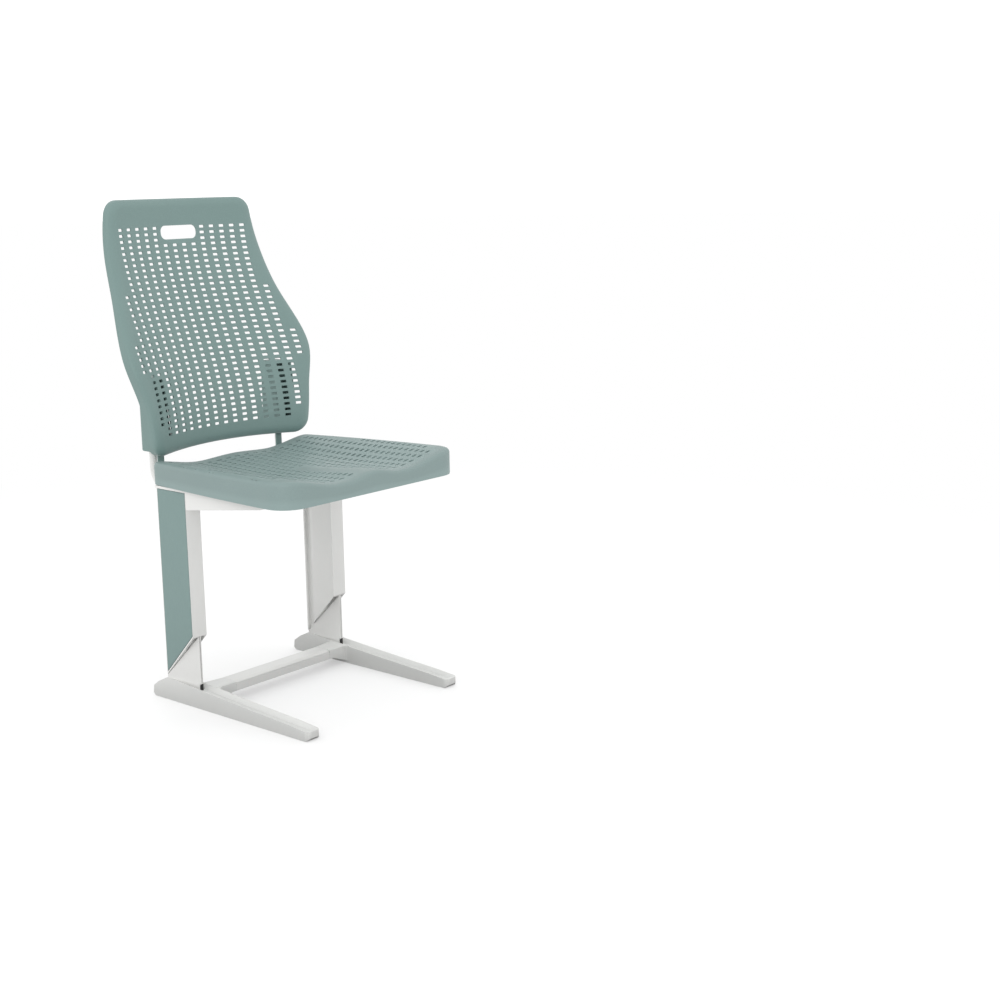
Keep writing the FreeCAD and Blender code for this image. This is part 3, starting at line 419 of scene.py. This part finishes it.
PAINT = powder_coat("frame_paint", (0.72, 0.72, 0.705))
# A darker copy of the frame paint for the feet: painted shade, standing in for the dimmer light low by the
# floor.
SHADED_FOOT_PAINT = powder_coat("foot_paint", (0.684, 0.689, 0.674))
SAGE = moulded_plastic("sage_plastic", (0.174, 0.261, 0.248))
# A lighter copy of the sage plastic for the seat: painted light, as the seat's top faces the light from
# above.
LIT_SEAT_SAGE = moulded_plastic("sage_plastic_lit_for_seat", (0.214, 0.287, 0.280))
PANEL = laminate("sage_panel", (0.180, 0.264, 0.253))
BLACK = rubbery("black_plastic", (0.018, 0.018, 0.019))
ZINC = plated_steel("zinc_steel", (0.60, 0.60, 0.60))


# ---------------------------------------------------------------- CAD nodes that stay

def material_for(node):
    """Material of a CAD node, from its name."""
    if node.startswith(("foot_bolts", "crossbar_bolts", "clamp_bolts", "nut_plate")) or "screws" in node:
        return ZINC
    # the feet take the darker copy of the frame paint, which is painted shade
    if node.startswith(("foot_left", "foot_right")):
        return SHADED_FOOT_PAINT
    if node.startswith(("riser_plug", "foot_pads", "guide_bushes")):
        return BLACK
    if node.startswith("leg_panel"):
        return PANEL
    if node in ("seat_shell", "backrest_shell"):
        return SAGE
    return PAINT


EDGE_ROUNDING = {"leg_shell": 0.7, "leg_panel": 0.35, "riser": 0.7, "crossbar": 1.2, "seat_arm": 1.0,
                 "foot": 2.0}
WELD_DISTANCE = 0.02

for node_name, node_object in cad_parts.items():
    node_object.data.materials.clear()
    node_object.data.materials.append(material_for(node_name))
    kind = node_name.rsplit("_", 1)[0] if node_name.endswith(("_left", "_right")) else node_name
    if kind in EDGE_ROUNDING:
        weld = node_object.modifiers.new("join_corners", "WELD")
        weld.merge_threshold = WELD_DISTANCE * MM
        add_bevel(node_object, EDGE_ROUNDING[kind], segments=3)


# ---------------------------------------------------------------- seat

# outline of the seat, its level at the front edge and the fall towards the back
SEAT_FRONT, SEAT_BACK = -248.0, 123.0
SEAT_HALF, SEAT_HALF_BACK, SEAT_BULGE = 211.5, 183.0, 4.5
SEAT_LEVEL, SEAT_FALL, SEAT_SKIRT_END = 419.0, 2.0, 391.0

# form of its top: raised sides, the ridge between the thighs, a low ridge at the rear and the hollow
SIDE_RISE, SIDE_RISE_LOSS, SIDE_RISE_START, SIDE_RISE_END = 18.0, 4.0, 80.0, 195.0
RIDGE_HIGH, RIDGE_HALF, RIDGE_FALL_START, RIDGE_FALL_END = 9.0, 64.0, 22.0, 190.0
REAR_RIDGE_HIGH, REAR_RIDGE_HALF, REAR_RIDGE_LONG = 3.5, 80.0, 90.0
SEAT_DISH, SEAT_DISH_FLAT, SEAT_DISH_END = 6.5, 60.0, 200.0

# corners of the outline, and how far from them its sides have points
SEAT_FRONT_RADIUS, SEAT_FRONT_CLEAR, SEAT_BACK_RADIUS, SEAT_BACK_CLEAR = 42.0, 50.0, 20.0, 26.0

# holes of the seat, and where it has none: on the ridge, along the edge and in the front corners
HOLE_PITCH_X, HOLE_HALF, HOLE_CORNER_STEPS = 21.43, 5.35, 2
SEAT_HOLE_HALF_LONG, SEAT_HOLE_RADIUS = 3.0, 1.3
SEAT_FIRST_ROW, SEAT_ROW_PITCH, SEAT_ROWS, SEAT_COLUMNS = -216.5, 12.88, 25, 9
BARE_RIDGE_HALF, BARE_RIDGE_END, BARE_EDGE = 12.0, -60.0, 16.4
BARE_CORNER_X, BARE_CORNER_Y = 170.0, -200.0


def seat_top(x, y):
    """Top of the seat: two thigh troughs with a ridge between them at the front, sides rolled up."""
    across = abs(x)
    backward = (y - SEAT_FRONT) / (SEAT_BACK - SEAT_FRONT)
    rise = (SIDE_RISE - SIDE_RISE_LOSS * backward) * ease(SIDE_RISE_START, SIDE_RISE_END, across)
    ridge_left = 1 - ease(SEAT_FRONT + RIDGE_FALL_START, SEAT_FRONT + RIDGE_FALL_END, y)
    ridge = RIDGE_HIGH * (1 - ease(0, RIDGE_HALF, across)) * ridge_left
    rear_start = SEAT_BACK - REAR_RIDGE_LONG
    rear_ridge = REAR_RIDGE_HIGH * (1 - ease(0, REAR_RIDGE_HALF, across)) * ease(rear_start, SEAT_BACK, y)
    hollow = math.sin(math.pi * min(max(backward, 0.0), 1.0))
    dish = SEAT_DISH * hollow * (1 - ease(SEAT_DISH_FLAT, SEAT_DISH_END, across))
    return SEAT_LEVEL - SEAT_FALL * backward + rise + ridge + rear_ridge - dish


def seat_half_width(y):
    """Half width of the seat: a straight taper from front to back with a slight bulge."""
    backward = (y - SEAT_FRONT) / (SEAT_BACK - SEAT_FRONT)
    return SEAT_HALF + (SEAT_HALF_BACK - SEAT_HALF) * backward + SEAT_BULGE * 4 * backward * (1 - backward)


def seat_outline():
    steps = 12
    ys = [SEAT_FRONT + (SEAT_BACK - SEAT_FRONT) * i / steps for i in range(steps + 1)]
    right = [(seat_half_width(y), y, 0) for y in ys
             if SEAT_FRONT + SEAT_FRONT_CLEAR < y < SEAT_BACK - SEAT_BACK_CLEAR]
    left = [(-x, y, 0) for x, y, _ in reversed(right)]
    front, back = seat_half_width(SEAT_FRONT), seat_half_width(SEAT_BACK)
    corners = [(-front, SEAT_FRONT, SEAT_FRONT_RADIUS), (front, SEAT_FRONT, SEAT_FRONT_RADIUS)]
    corners += right
    corners += [(back, SEAT_BACK, SEAT_BACK_RADIUS), (-back, SEAT_BACK, SEAT_BACK_RADIUS)]
    corners += left
    return round_corners(corners)


def seat_holes():
    """Slots in a square grid, left out along the ridge and near the edges."""
    slot = rounded_slot(HOLE_HALF, SEAT_HOLE_HALF_LONG, SEAT_HOLE_RADIUS, HOLE_CORNER_STEPS)
    holes = []
    for row in range(SEAT_ROWS):
        y = SEAT_FIRST_ROW + row * SEAT_ROW_PITCH
        for column in range(-SEAT_COLUMNS, SEAT_COLUMNS):
            x = (column + 0.5) * HOLE_PITCH_X
            on_ridge = abs(x) < BARE_RIDGE_HALF and y < BARE_RIDGE_END
            near_edge = abs(x) + BARE_EDGE > seat_half_width(y)
            in_corner = abs(x) > BARE_CORNER_X and y < BARE_CORNER_Y
            if not (on_ridge or near_edge or in_corner):
                holes.append([(x + u, y + v) for u, v in slot])
    return holes


def build_seat():
    seat = moulded_sheet(
        "seat_moulding", seat_outline(), seat_holes(),
        surface=lambda x, y, depth: Vector((x, y, seat_top(x, y) - depth)),
        skirt_depth=lambda x, y: seat_top(x, y) - SEAT_SKIRT_END,
        rim=lambda normal: (9.0, 8.0), rim_start=4.0, wall=3.2, spacing=5.0, grid=9.0)
    # the seat takes the lighter copy of the sage plastic, which is painted light from above
    seat.data.materials.append(LIT_SEAT_SAGE)
    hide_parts("seat_shell")


# ---------------------------------------------------------------- backrest

# outline of the backrest, its lean, the hollow of its front, the skirt behind it and the rolled rim
BACK_BOTTOM, BACK_TOP, BACK_SAG = 435.0, 875.5, 4.0
BACK_BOTTOM_RADIUS, BACK_TOP_RADIUS, BACK_CORNER_CLEAR = 28.0, 30.0, 32.0
BACK_FOOT, BACK_LEAN, LEAN_START, LEAN_END = 142.4, 97.0, 450.0, 840.0
DISH_REACH, DISH_MEAN, DISH_SWING, DISH_DEEPEST, DISH_HALF_WAVE = 160.0, 28.6, 8.0, 540.0, 320.0
SKIRT_MIDDLE, SKIRT_SIDES, SKIRT_SIDES_LOSS, SKIRT_EASE_START, SKIRT_EASE_END = 13.6, 11.8, 6.6, 540.0, 740.0
RIM_WIDE, RIM_WIDER_AT_SIDES, RIM_DEEP, RIM_DEEPER_AT_SIDES = 14.0, 11.0, 9.5, 6.5
BACK_WALL = 3.2

# holes of the backrest, counted from the top row, and the hand slot with the rows and columns it takes up
BACK_HOLE_HALF_HIGH, BACK_HOLE_RADIUS = 2.35, 1.1
FIRST_ROW, ROW_PITCH, ROWS, COLUMNS = 823.8, 10.335, 35, 14
WIDER_ROWS, WIDEST_ROWS = range(11, 33), range(19, 24)
SLOT_HALF, SLOT_LOW, SLOT_HIGH, SLOT_RADIUS, SLOT_CORNER_STEPS = 41.0, 803.2, 827.6, 10.5, 8
SLOT_ROWS, SLOT_FIRST_COLUMN, SLOT_LAST_COLUMN = 3, 5, 8


def back_dish(z):
    """How far the front is hollowed, between the middle and DISH_REACH either side of it."""
    return DISH_MEAN + DISH_SWING * math.cos(math.pi * (z - DISH_DEEPEST) / DISH_HALF_WAVE)


def back_front(x, z):
    """Front face of the backrest."""
    return BACK_FOOT + BACK_LEAN * ease(LEAN_START, LEAN_END, z) - back_dish(z) * (x / DISH_REACH) ** 2


def back_rear(x, z):
    """Back edge of the skirt, which is deeper at the sides than at the middle."""
    side_extra = SKIRT_SIDES - SKIRT_SIDES_LOSS * ease(SKIRT_EASE_START, SKIRT_EASE_END, z)
    return back_front(x, z) + SKIRT_MIDDLE + side_extra * (x / DISH_REACH) ** 2


def smooth_through(knots, z):
    """Value at z of a smooth curve through (z, value) knots."""
    for index in range(len(knots) - 1):
        if z <= knots[index + 1][0] or index == len(knots) - 2:
            break

    def slope(i):
        low, high = max(i - 1, 0), min(i + 1, len(knots) - 1)
        return (knots[high][1] - knots[low][1]) / (knots[high][0] - knots[low][0])

    (z0, v0), (z1, v1) = knots[index], knots[index + 1]
    span = z1 - z0
    t = (z - z0) / span
    return ((2 * t ** 3 - 3 * t ** 2 + 1) * v0 + (t ** 3 - 2 * t ** 2 + t) * span * slope(index)
            + (-2 * t ** 3 + 3 * t ** 2) * v1 + (t ** 3 - t ** 2) * span * slope(index + 1))


BACK_HALF_WIDTHS = ((BACK_BOTTOM, 181.2), (525.0, 191.6), (608.0, 208.8), (717.0, 185.8), (790.0, 174.4),
                    (BACK_TOP, 161.0))


def back_half_width(z):
    return smooth_through(BACK_HALF_WIDTHS, z)


def back_outline():
    """Outline of the backrest, with the bottom edge arched up a little towards the middle."""
    steps, sixths = 44, 6
    zs = [BACK_BOTTOM + (BACK_TOP - BACK_BOTTOM) * i / steps for i in range(steps + 1)]
    side = [z for z in zs if BACK_BOTTOM + BACK_CORNER_CLEAR < z < BACK_TOP - BACK_CORNER_CLEAR]
    low, high = back_half_width(BACK_BOTTOM), back_half_width(BACK_TOP)
    bottom = [(low * i / sixths, BACK_BOTTOM + BACK_SAG * (1 - (i / sixths) ** 2), 0) for i in range(-4, 5)]
    corners = [(-low, BACK_BOTTOM, BACK_BOTTOM_RADIUS)] + bottom + [(low, BACK_BOTTOM, BACK_BOTTOM_RADIUS)]
    corners += [(back_half_width(z), z, 0) for z in side]
    corners += [(high, BACK_TOP, BACK_TOP_RADIUS), (-high, BACK_TOP, BACK_TOP_RADIUS)]
    corners += [(-back_half_width(z), z, 0) for z in reversed(side)]
    return round_corners(corners)


def back_rim(normal):
    """Width and depth of the rolled rim: broad along the sides, tighter along the top and bottom."""
    share = abs(normal.x)
    return RIM_WIDE + RIM_WIDER_AT_SIDES * share, RIM_DEEP + RIM_DEEPER_AT_SIDES * share


def extra_columns(row):
    """How many columns of holes stand outside those of the narrow rows, on each side."""
    if row in WIDEST_ROWS:
        return 2
    if row in WIDER_ROWS:
        return 1
    return 0


def back_holes():
    """The hand slot, then the small holes in rows from the top, left out where the hand slot is."""
    half_high, middle = (SLOT_HIGH - SLOT_LOW) / 2, (SLOT_HIGH + SLOT_LOW) / 2
    hand_slot = rounded_slot(SLOT_HALF, half_high, SLOT_RADIUS, SLOT_CORNER_STEPS)
    small = rounded_slot(HOLE_HALF, BACK_HOLE_HALF_HIGH, BACK_HOLE_RADIUS, HOLE_CORNER_STEPS)
    holes = [[(u, v + middle) for u, v in hand_slot]]
    for row in range(ROWS):
        z = FIRST_ROW - row * ROW_PITCH
        extra = extra_columns(row)
        for column in range(-extra, COLUMNS + extra):
            if row < SLOT_ROWS and SLOT_FIRST_COLUMN <= column <= SLOT_LAST_COLUMN:
                continue
            x = (column - (COLUMNS - 1) / 2) * HOLE_PITCH_X
            holes.append([(x + u, z + v) for u, v in small])
    return holes


def build_backrest():
    back = moulded_sheet(
        "backrest_moulding", back_outline(), back_holes(),
        surface=lambda x, z, depth: Vector((x, back_front(x, z) + depth, z)),
        skirt_depth=lambda x, z: back_rear(x, z) - back_front(x, z),
        rim=back_rim, rim_start=4.0, wall=BACK_WALL, spacing=5.0, grid=9.0)
    back.data.materials.append(SAGE)
    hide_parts("backrest_shell")


def loft(name, rings, body):
    """A closed surface through rings of points, all with the same number of points."""
    points = [point for ring in rings for point in ring]
    count = len(rings[0])
    faces = []
    for level in range(len(rings) - 1):
        for i in range(count):
            following = (i + 1) % count
            faces.append((level * count + i, level * count + following,
                          (level + 1) * count + following, (level + 1) * count + i))
    faces.append(tuple(range(count)))
    faces.append(tuple(range((len(rings) - 1) * count, len(rings) * count)))
    return solid_from_faces(name, points, faces, body)


SLEEVE_INNER, SLEEVE_OUTER, SLEEVE_BACK = 128.0, 163.0, 176.0
SLEEVE_BOTTOM, SLEEVE_TOP, SLEEVE_PARTITION = 441.0, 572.0, 146.5
SLEEVE_CORNER, SLEEVE_CORNER_STEPS, SLEEVE_WALL, SLEEVE_FLOOR_INSET = 2.2, 4, 2.6, 2.8
SLEEVE_EDGE_ROUNDING, SLEEVE_EDGE_ANGLE = 0.5, 40
PANEL_ROLL_WIDE, PANEL_ROLL_DEEP, SLEEVE_SUNK = 25.0, 14.4, 0.6

# the rounded back of a sleeve, ring by ring: inset, inset of the outer side, distance from the back
SLEEVE_ROUNDING = ((0.0, 0.0, 11.0), (0.0, 0.9, 6.8), (0.0, 3.2, 3.2), (0.2, 6.8, 0.9), (0.9, 11.0, 0.0))

TONGUE_INNER, TONGUE_OUTER, TONGUE_MIDDLE_Y = 133.3, 147.0, 147.9
TONGUE_HALF_DEEP, TONGUE_CORNER, TONGUE_CORNER_STEPS = 1.6, 0.9, 3
TONGUE_BOTTOM, TONGUE_MIDDLE, TONGUE_OVERLAP = 402.0, 425.0, 3.0
TONGUE_TIP, TONGUE_TIP_SCALE = 1.0, 0.93


def build_sleeve(name, side):
    """Box on the back of the backrest, hollow in front of its partition, with the rod behind that.

    A flat tongue hangs from it behind the seat.
    """
    middle_x, middle_z = (SLEEVE_INNER + SLEEVE_OUTER) / 2, (SLEEVE_BOTTOM + SLEEVE_TOP) / 2
    half_x, half_z = (SLEEVE_OUTER - SLEEVE_INNER) / 2, (SLEEVE_TOP - SLEEVE_BOTTOM) / 2

    def ring(inset, outer_inset, depth_of):
        """Rounded rectangle drawn in by inset, and by outer_inset on the side away from the middle."""
        narrowed = half_x - (inset + outer_inset) / 2
        spots = []
        for u, v in rounded_slot(narrowed, half_z - inset, SLEEVE_CORNER, SLEEVE_CORNER_STEPS):
            x, z = side * (middle_x + u - (outer_inset - inset) / 2), middle_z + v
            spots.append((x, depth_of(x, z), z))
        return spots

    def at_panel(x, z):
        """Just inside the back of the sheet, which rolls away near its edge."""
        nearest = min(back_half_width(z) - abs(x), z - BACK_BOTTOM)
        roll = rim_fall(max(nearest, 0.0), PANEL_ROLL_WIDE, PANEL_ROLL_DEEP)
        return back_front(x, z) + roll + BACK_WALL - SLEEVE_SUNK

    rings = [
        ring(SLEEVE_FLOOR_INSET, SLEEVE_FLOOR_INSET, lambda x, z: SLEEVE_PARTITION),
        ring(SLEEVE_WALL, SLEEVE_WALL, at_panel),
        ring(0.0, 0.0, at_panel),
    ]
    for inset, outer_inset, from_back in SLEEVE_ROUNDING:
        depth = SLEEVE_BACK - from_back
        rings.append(ring(inset, outer_inset, lambda x, z: depth))
    sleeve = loft(f"rod_sleeve_{name}", rings, SEAT_BODY)
    add_bevel(sleeve, SLEEVE_EDGE_ROUNDING, angle=SLEEVE_EDGE_ANGLE)
    sleeve.data.materials.append(SAGE)

    half_wide = (TONGUE_OUTER - TONGUE_INNER) / 2
    outline = rounded_slot(half_wide, TONGUE_HALF_DEEP, TONGUE_CORNER, TONGUE_CORNER_STEPS)
    tongue_x = side * (TONGUE_INNER + TONGUE_OUTER) / 2
    levels = [(TONGUE_BOTTOM, TONGUE_TIP_SCALE), (TONGUE_BOTTOM + TONGUE_TIP, 1.0), (TONGUE_MIDDLE, 1.0),
              (SLEEVE_BOTTOM + TONGUE_OVERLAP, 1.0)]
    rings = [[(tongue_x + u * scale, TONGUE_MIDDLE_Y + v * scale, z) for u, v in outline]
             for z, scale in levels]
    tongue = loft(f"sleeve_tongue_{name}", rings, SEAT_BODY)
    tongue.data.materials.append(SAGE)


BOSS_X, BOSS_PLACES = 110.0, (("front", -105.0), ("rear", 75.0))
BOSS_RADIUS, BOSS_CHAMFER, BOSS_FLARE, BOSS_FLARE_START = 7.0, 0.4, 3.0, 1.0
BOSS_HOLE, BOSS_HOLE_CHAMFER = 3.0, 0.6
BOSS_BOTTOM, BOSS_HOLE_TOP, BOSS_SUNK = 397.0, 405.0, 2.5


def build_seat_boss(name, x, y):
    """Screw boss under the seat, flared where it meets the top."""
    steps = 24
    top = seat_top(x, y) - BOSS_SUNK

    def ring(radius, z):
        return [(x + radius * math.cos(math.tau * i / steps), y + radius * math.sin(math.tau * i / steps), z)
                for i in range(steps)]

    rings = [
        ring(BOSS_HOLE, BOSS_HOLE_TOP),
        ring(BOSS_HOLE, BOSS_BOTTOM + BOSS_CHAMFER),
        ring(BOSS_HOLE + BOSS_HOLE_CHAMFER, BOSS_BOTTOM),
        ring(BOSS_RADIUS - BOSS_CHAMFER, BOSS_BOTTOM),
        ring(BOSS_RADIUS, BOSS_BOTTOM + BOSS_CHAMFER),
        ring(BOSS_RADIUS, top - BOSS_FLARE),
        ring(BOSS_RADIUS + BOSS_FLARE_START, top - BOSS_FLARE_START),
        ring(BOSS_RADIUS + BOSS_FLARE, top),
    ]
    boss = loft(name, rings, SEAT_BODY)
    boss.data.materials.append(SAGE)


build_seat()
build_backrest()
for side_name, side_sign in SIDES:
    build_sleeve(side_name, side_sign)
    for place_name, boss_y in BOSS_PLACES:
        build_seat_boss(f"seat_boss_{place_name}_{side_name}", side_sign * BOSS_X, boss_y)


# ---------------------------------------------------------------- floor, light and camera

LIGHT_ABOVE, LIGHT_BELOW = 1.19, 0.97
HORIZON_LOW, HORIZON_HIGH = -0.30, -0.02
KEY_POWER, KEY_SIZE, KEY_PLACE = 22.0, 2.4, (-3.3, -2.0, 1.5)
LIGHT_TARGET = (0, 0, 0.45)
FLOOR_RADIUS, FLOOR_GLOW, FADE_START, FADE_END = 30.0, 0.40, 0.7, 2.2
CARD_RADIUS, CARD_PLACE = 0.33, (0.0, -0.05, -0.003)
CAMERA_PLACE = (-1.859, -2.061, 0.920)
CAMERA_YAW, CAMERA_PITCH, CAMERA_ROLL = 50.257, 11.928, 0.817
CAMERA_LENS, CAMERA_SENSOR = 56.455, 36.0


def build_floor():
    """Plain pale floor that fades into the backdrop far from the chair and throws no light back up at it."""
    mesh = bpy.data.meshes.new("floor")
    shape = bmesh.new()
    bmesh.ops.create_circle(shape, cap_ends=True, radius=FLOOR_RADIUS, segments=64)
    shape.to_mesh(mesh)
    shape.free()
    floor = bpy.data.objects.new("floor", mesh)
    bpy.context.scene.collection.objects.link(floor)
    floor.visible_diffuse = False
    floor.visible_glossy = False
    recipe = Recipe("pale_floor")
    white = recipe.blend(recipe.spread(recipe.noise(3.0), 0, 1), (0.54, 0.54, 0.54), (0.56, 0.56, 0.56))
    material = recipe.finish(white, recipe.spread(recipe.noise(6.0), 0.7, 0.9), Emission_Color=(1, 1, 1, 1),
                             Emission_Strength=FLOOR_GLOW)
    distance = recipe.add("ShaderNodeVectorMath")
    distance.operation = "LENGTH"
    recipe.links.new(recipe.place, distance.inputs[0])
    fade = recipe.add("ShaderNodeMapRange")
    fade.interpolation_type = "SMOOTHSTEP"
    fade.inputs["From Min"].default_value = FADE_START
    fade.inputs["From Max"].default_value = FADE_END
    recipe.links.new(distance.outputs["Value"], fade.inputs["Value"])
    glow = recipe.add("ShaderNodeEmission", Color=(1, 1, 1, 1), Strength=1.0)
    mixer = recipe.nodes.new("ShaderNodeMixShader")
    recipe.links.new(fade.outputs["Result"], mixer.inputs["Fac"])
    recipe.links.new(recipe.shader.outputs["BSDF"], mixer.inputs[1])
    recipe.links.new(glow.outputs["Emission"], mixer.inputs[2])
    recipe.links.new(mixer.outputs["Shader"], recipe.nodes["Material Output"].inputs["Surface"])
    mesh.materials.append(material)


def build_shade_card():
    """Dark card just under the floor: it keeps the light from below off the lowest parts."""
    mesh = bpy.data.meshes.new("shade_card")
    shape = bmesh.new()
    bmesh.ops.create_circle(shape, cap_ends=True, radius=CARD_RADIUS, segments=48)
    shape.to_mesh(mesh)
    shape.free()
    card = bpy.data.objects.new("shade_card", mesh)
    card.location = CARD_PLACE
    bpy.context.scene.collection.objects.link(card)
    recipe = Recipe("dark_card")
    grey = recipe.blend(recipe.spread(recipe.noise(4.0), 0, 1), (0.16, 0.16, 0.16), (0.18, 0.18, 0.18))
    mesh.materials.append(recipe.finish(grey, recipe.spread(recipe.noise(6.0), 0.8, 0.95)))


def add_light(name, spot, size, power):
    """A round soft light that points at the chair."""
    data = bpy.data.lights.new(name, "AREA")
    data.shape = "DISK"
    data.size = size
    data.energy = power
    light = bpy.data.objects.new(name, data)
    light.location = spot
    aim = Vector(LIGHT_TARGET) - Vector(spot)
    light.rotation_mode = "QUATERNION"
    light.rotation_quaternion = aim.to_track_quat("-Z", "Y")
    bpy.context.scene.collection.objects.link(light)


def build_light():
    """A white dome, dimmer below the horizon, and one large soft light from the sitter's right."""
    world = bpy.data.worlds.new("studio")
    world.use_nodes = True
    nodes, links = world.node_tree.nodes, world.node_tree.links
    direction = nodes.new("ShaderNodeTexCoord")
    parts = nodes.new("ShaderNodeSeparateXYZ")
    strength = nodes.new("ShaderNodeMapRange")
    strength.inputs["From Min"].default_value = HORIZON_LOW
    strength.inputs["From Max"].default_value = HORIZON_HIGH
    strength.inputs["To Min"].default_value = LIGHT_BELOW
    strength.inputs["To Max"].default_value = LIGHT_ABOVE
    links.new(direction.outputs["Generated"], parts.inputs["Vector"])
    links.new(parts.outputs["Z"], strength.inputs["Value"])
    links.new(strength.outputs["Result"], nodes["Background"].inputs["Strength"])
    nodes["Background"].inputs["Color"].default_value = (1, 1, 1, 1)
    bpy.context.scene.world = world
    add_light("key", KEY_PLACE, KEY_SIZE, KEY_POWER)
    bpy.context.scene.view_settings.view_transform = "Standard"


def build_camera():
    """The camera stands to the chair's right front, slightly above it."""
    yaw, pitch, roll = (math.radians(angle) for angle in (CAMERA_YAW, CAMERA_PITCH, CAMERA_ROLL))
    forward = Vector((math.sin(yaw) * math.cos(pitch), math.cos(yaw) * math.cos(pitch), -math.sin(pitch)))
    level = Vector((math.cos(yaw), -math.sin(yaw), 0.0))
    down = forward.cross(level)
    right = math.cos(roll) * level + math.sin(roll) * down
    up = math.sin(roll) * level - math.cos(roll) * down
    camera_data = bpy.data.cameras.new("camera")
    camera_data.lens = CAMERA_LENS
    camera_data.sensor_width = CAMERA_SENSOR
    camera = bpy.data.objects.new("camera", camera_data)
    camera.matrix_world = Matrix((
        (right.x, up.x, -forward.x, CAMERA_PLACE[0]),
        (right.y, up.y, -forward.y, CAMERA_PLACE[1]),
        (right.z, up.z, -forward.z, CAMERA_PLACE[2]),
        (0, 0, 0, 1)))
    bpy.context.scene.collection.objects.link(camera)
    bpy.context.scene.camera = camera


build_floor()
build_shade_card()
build_light()
build_camera()
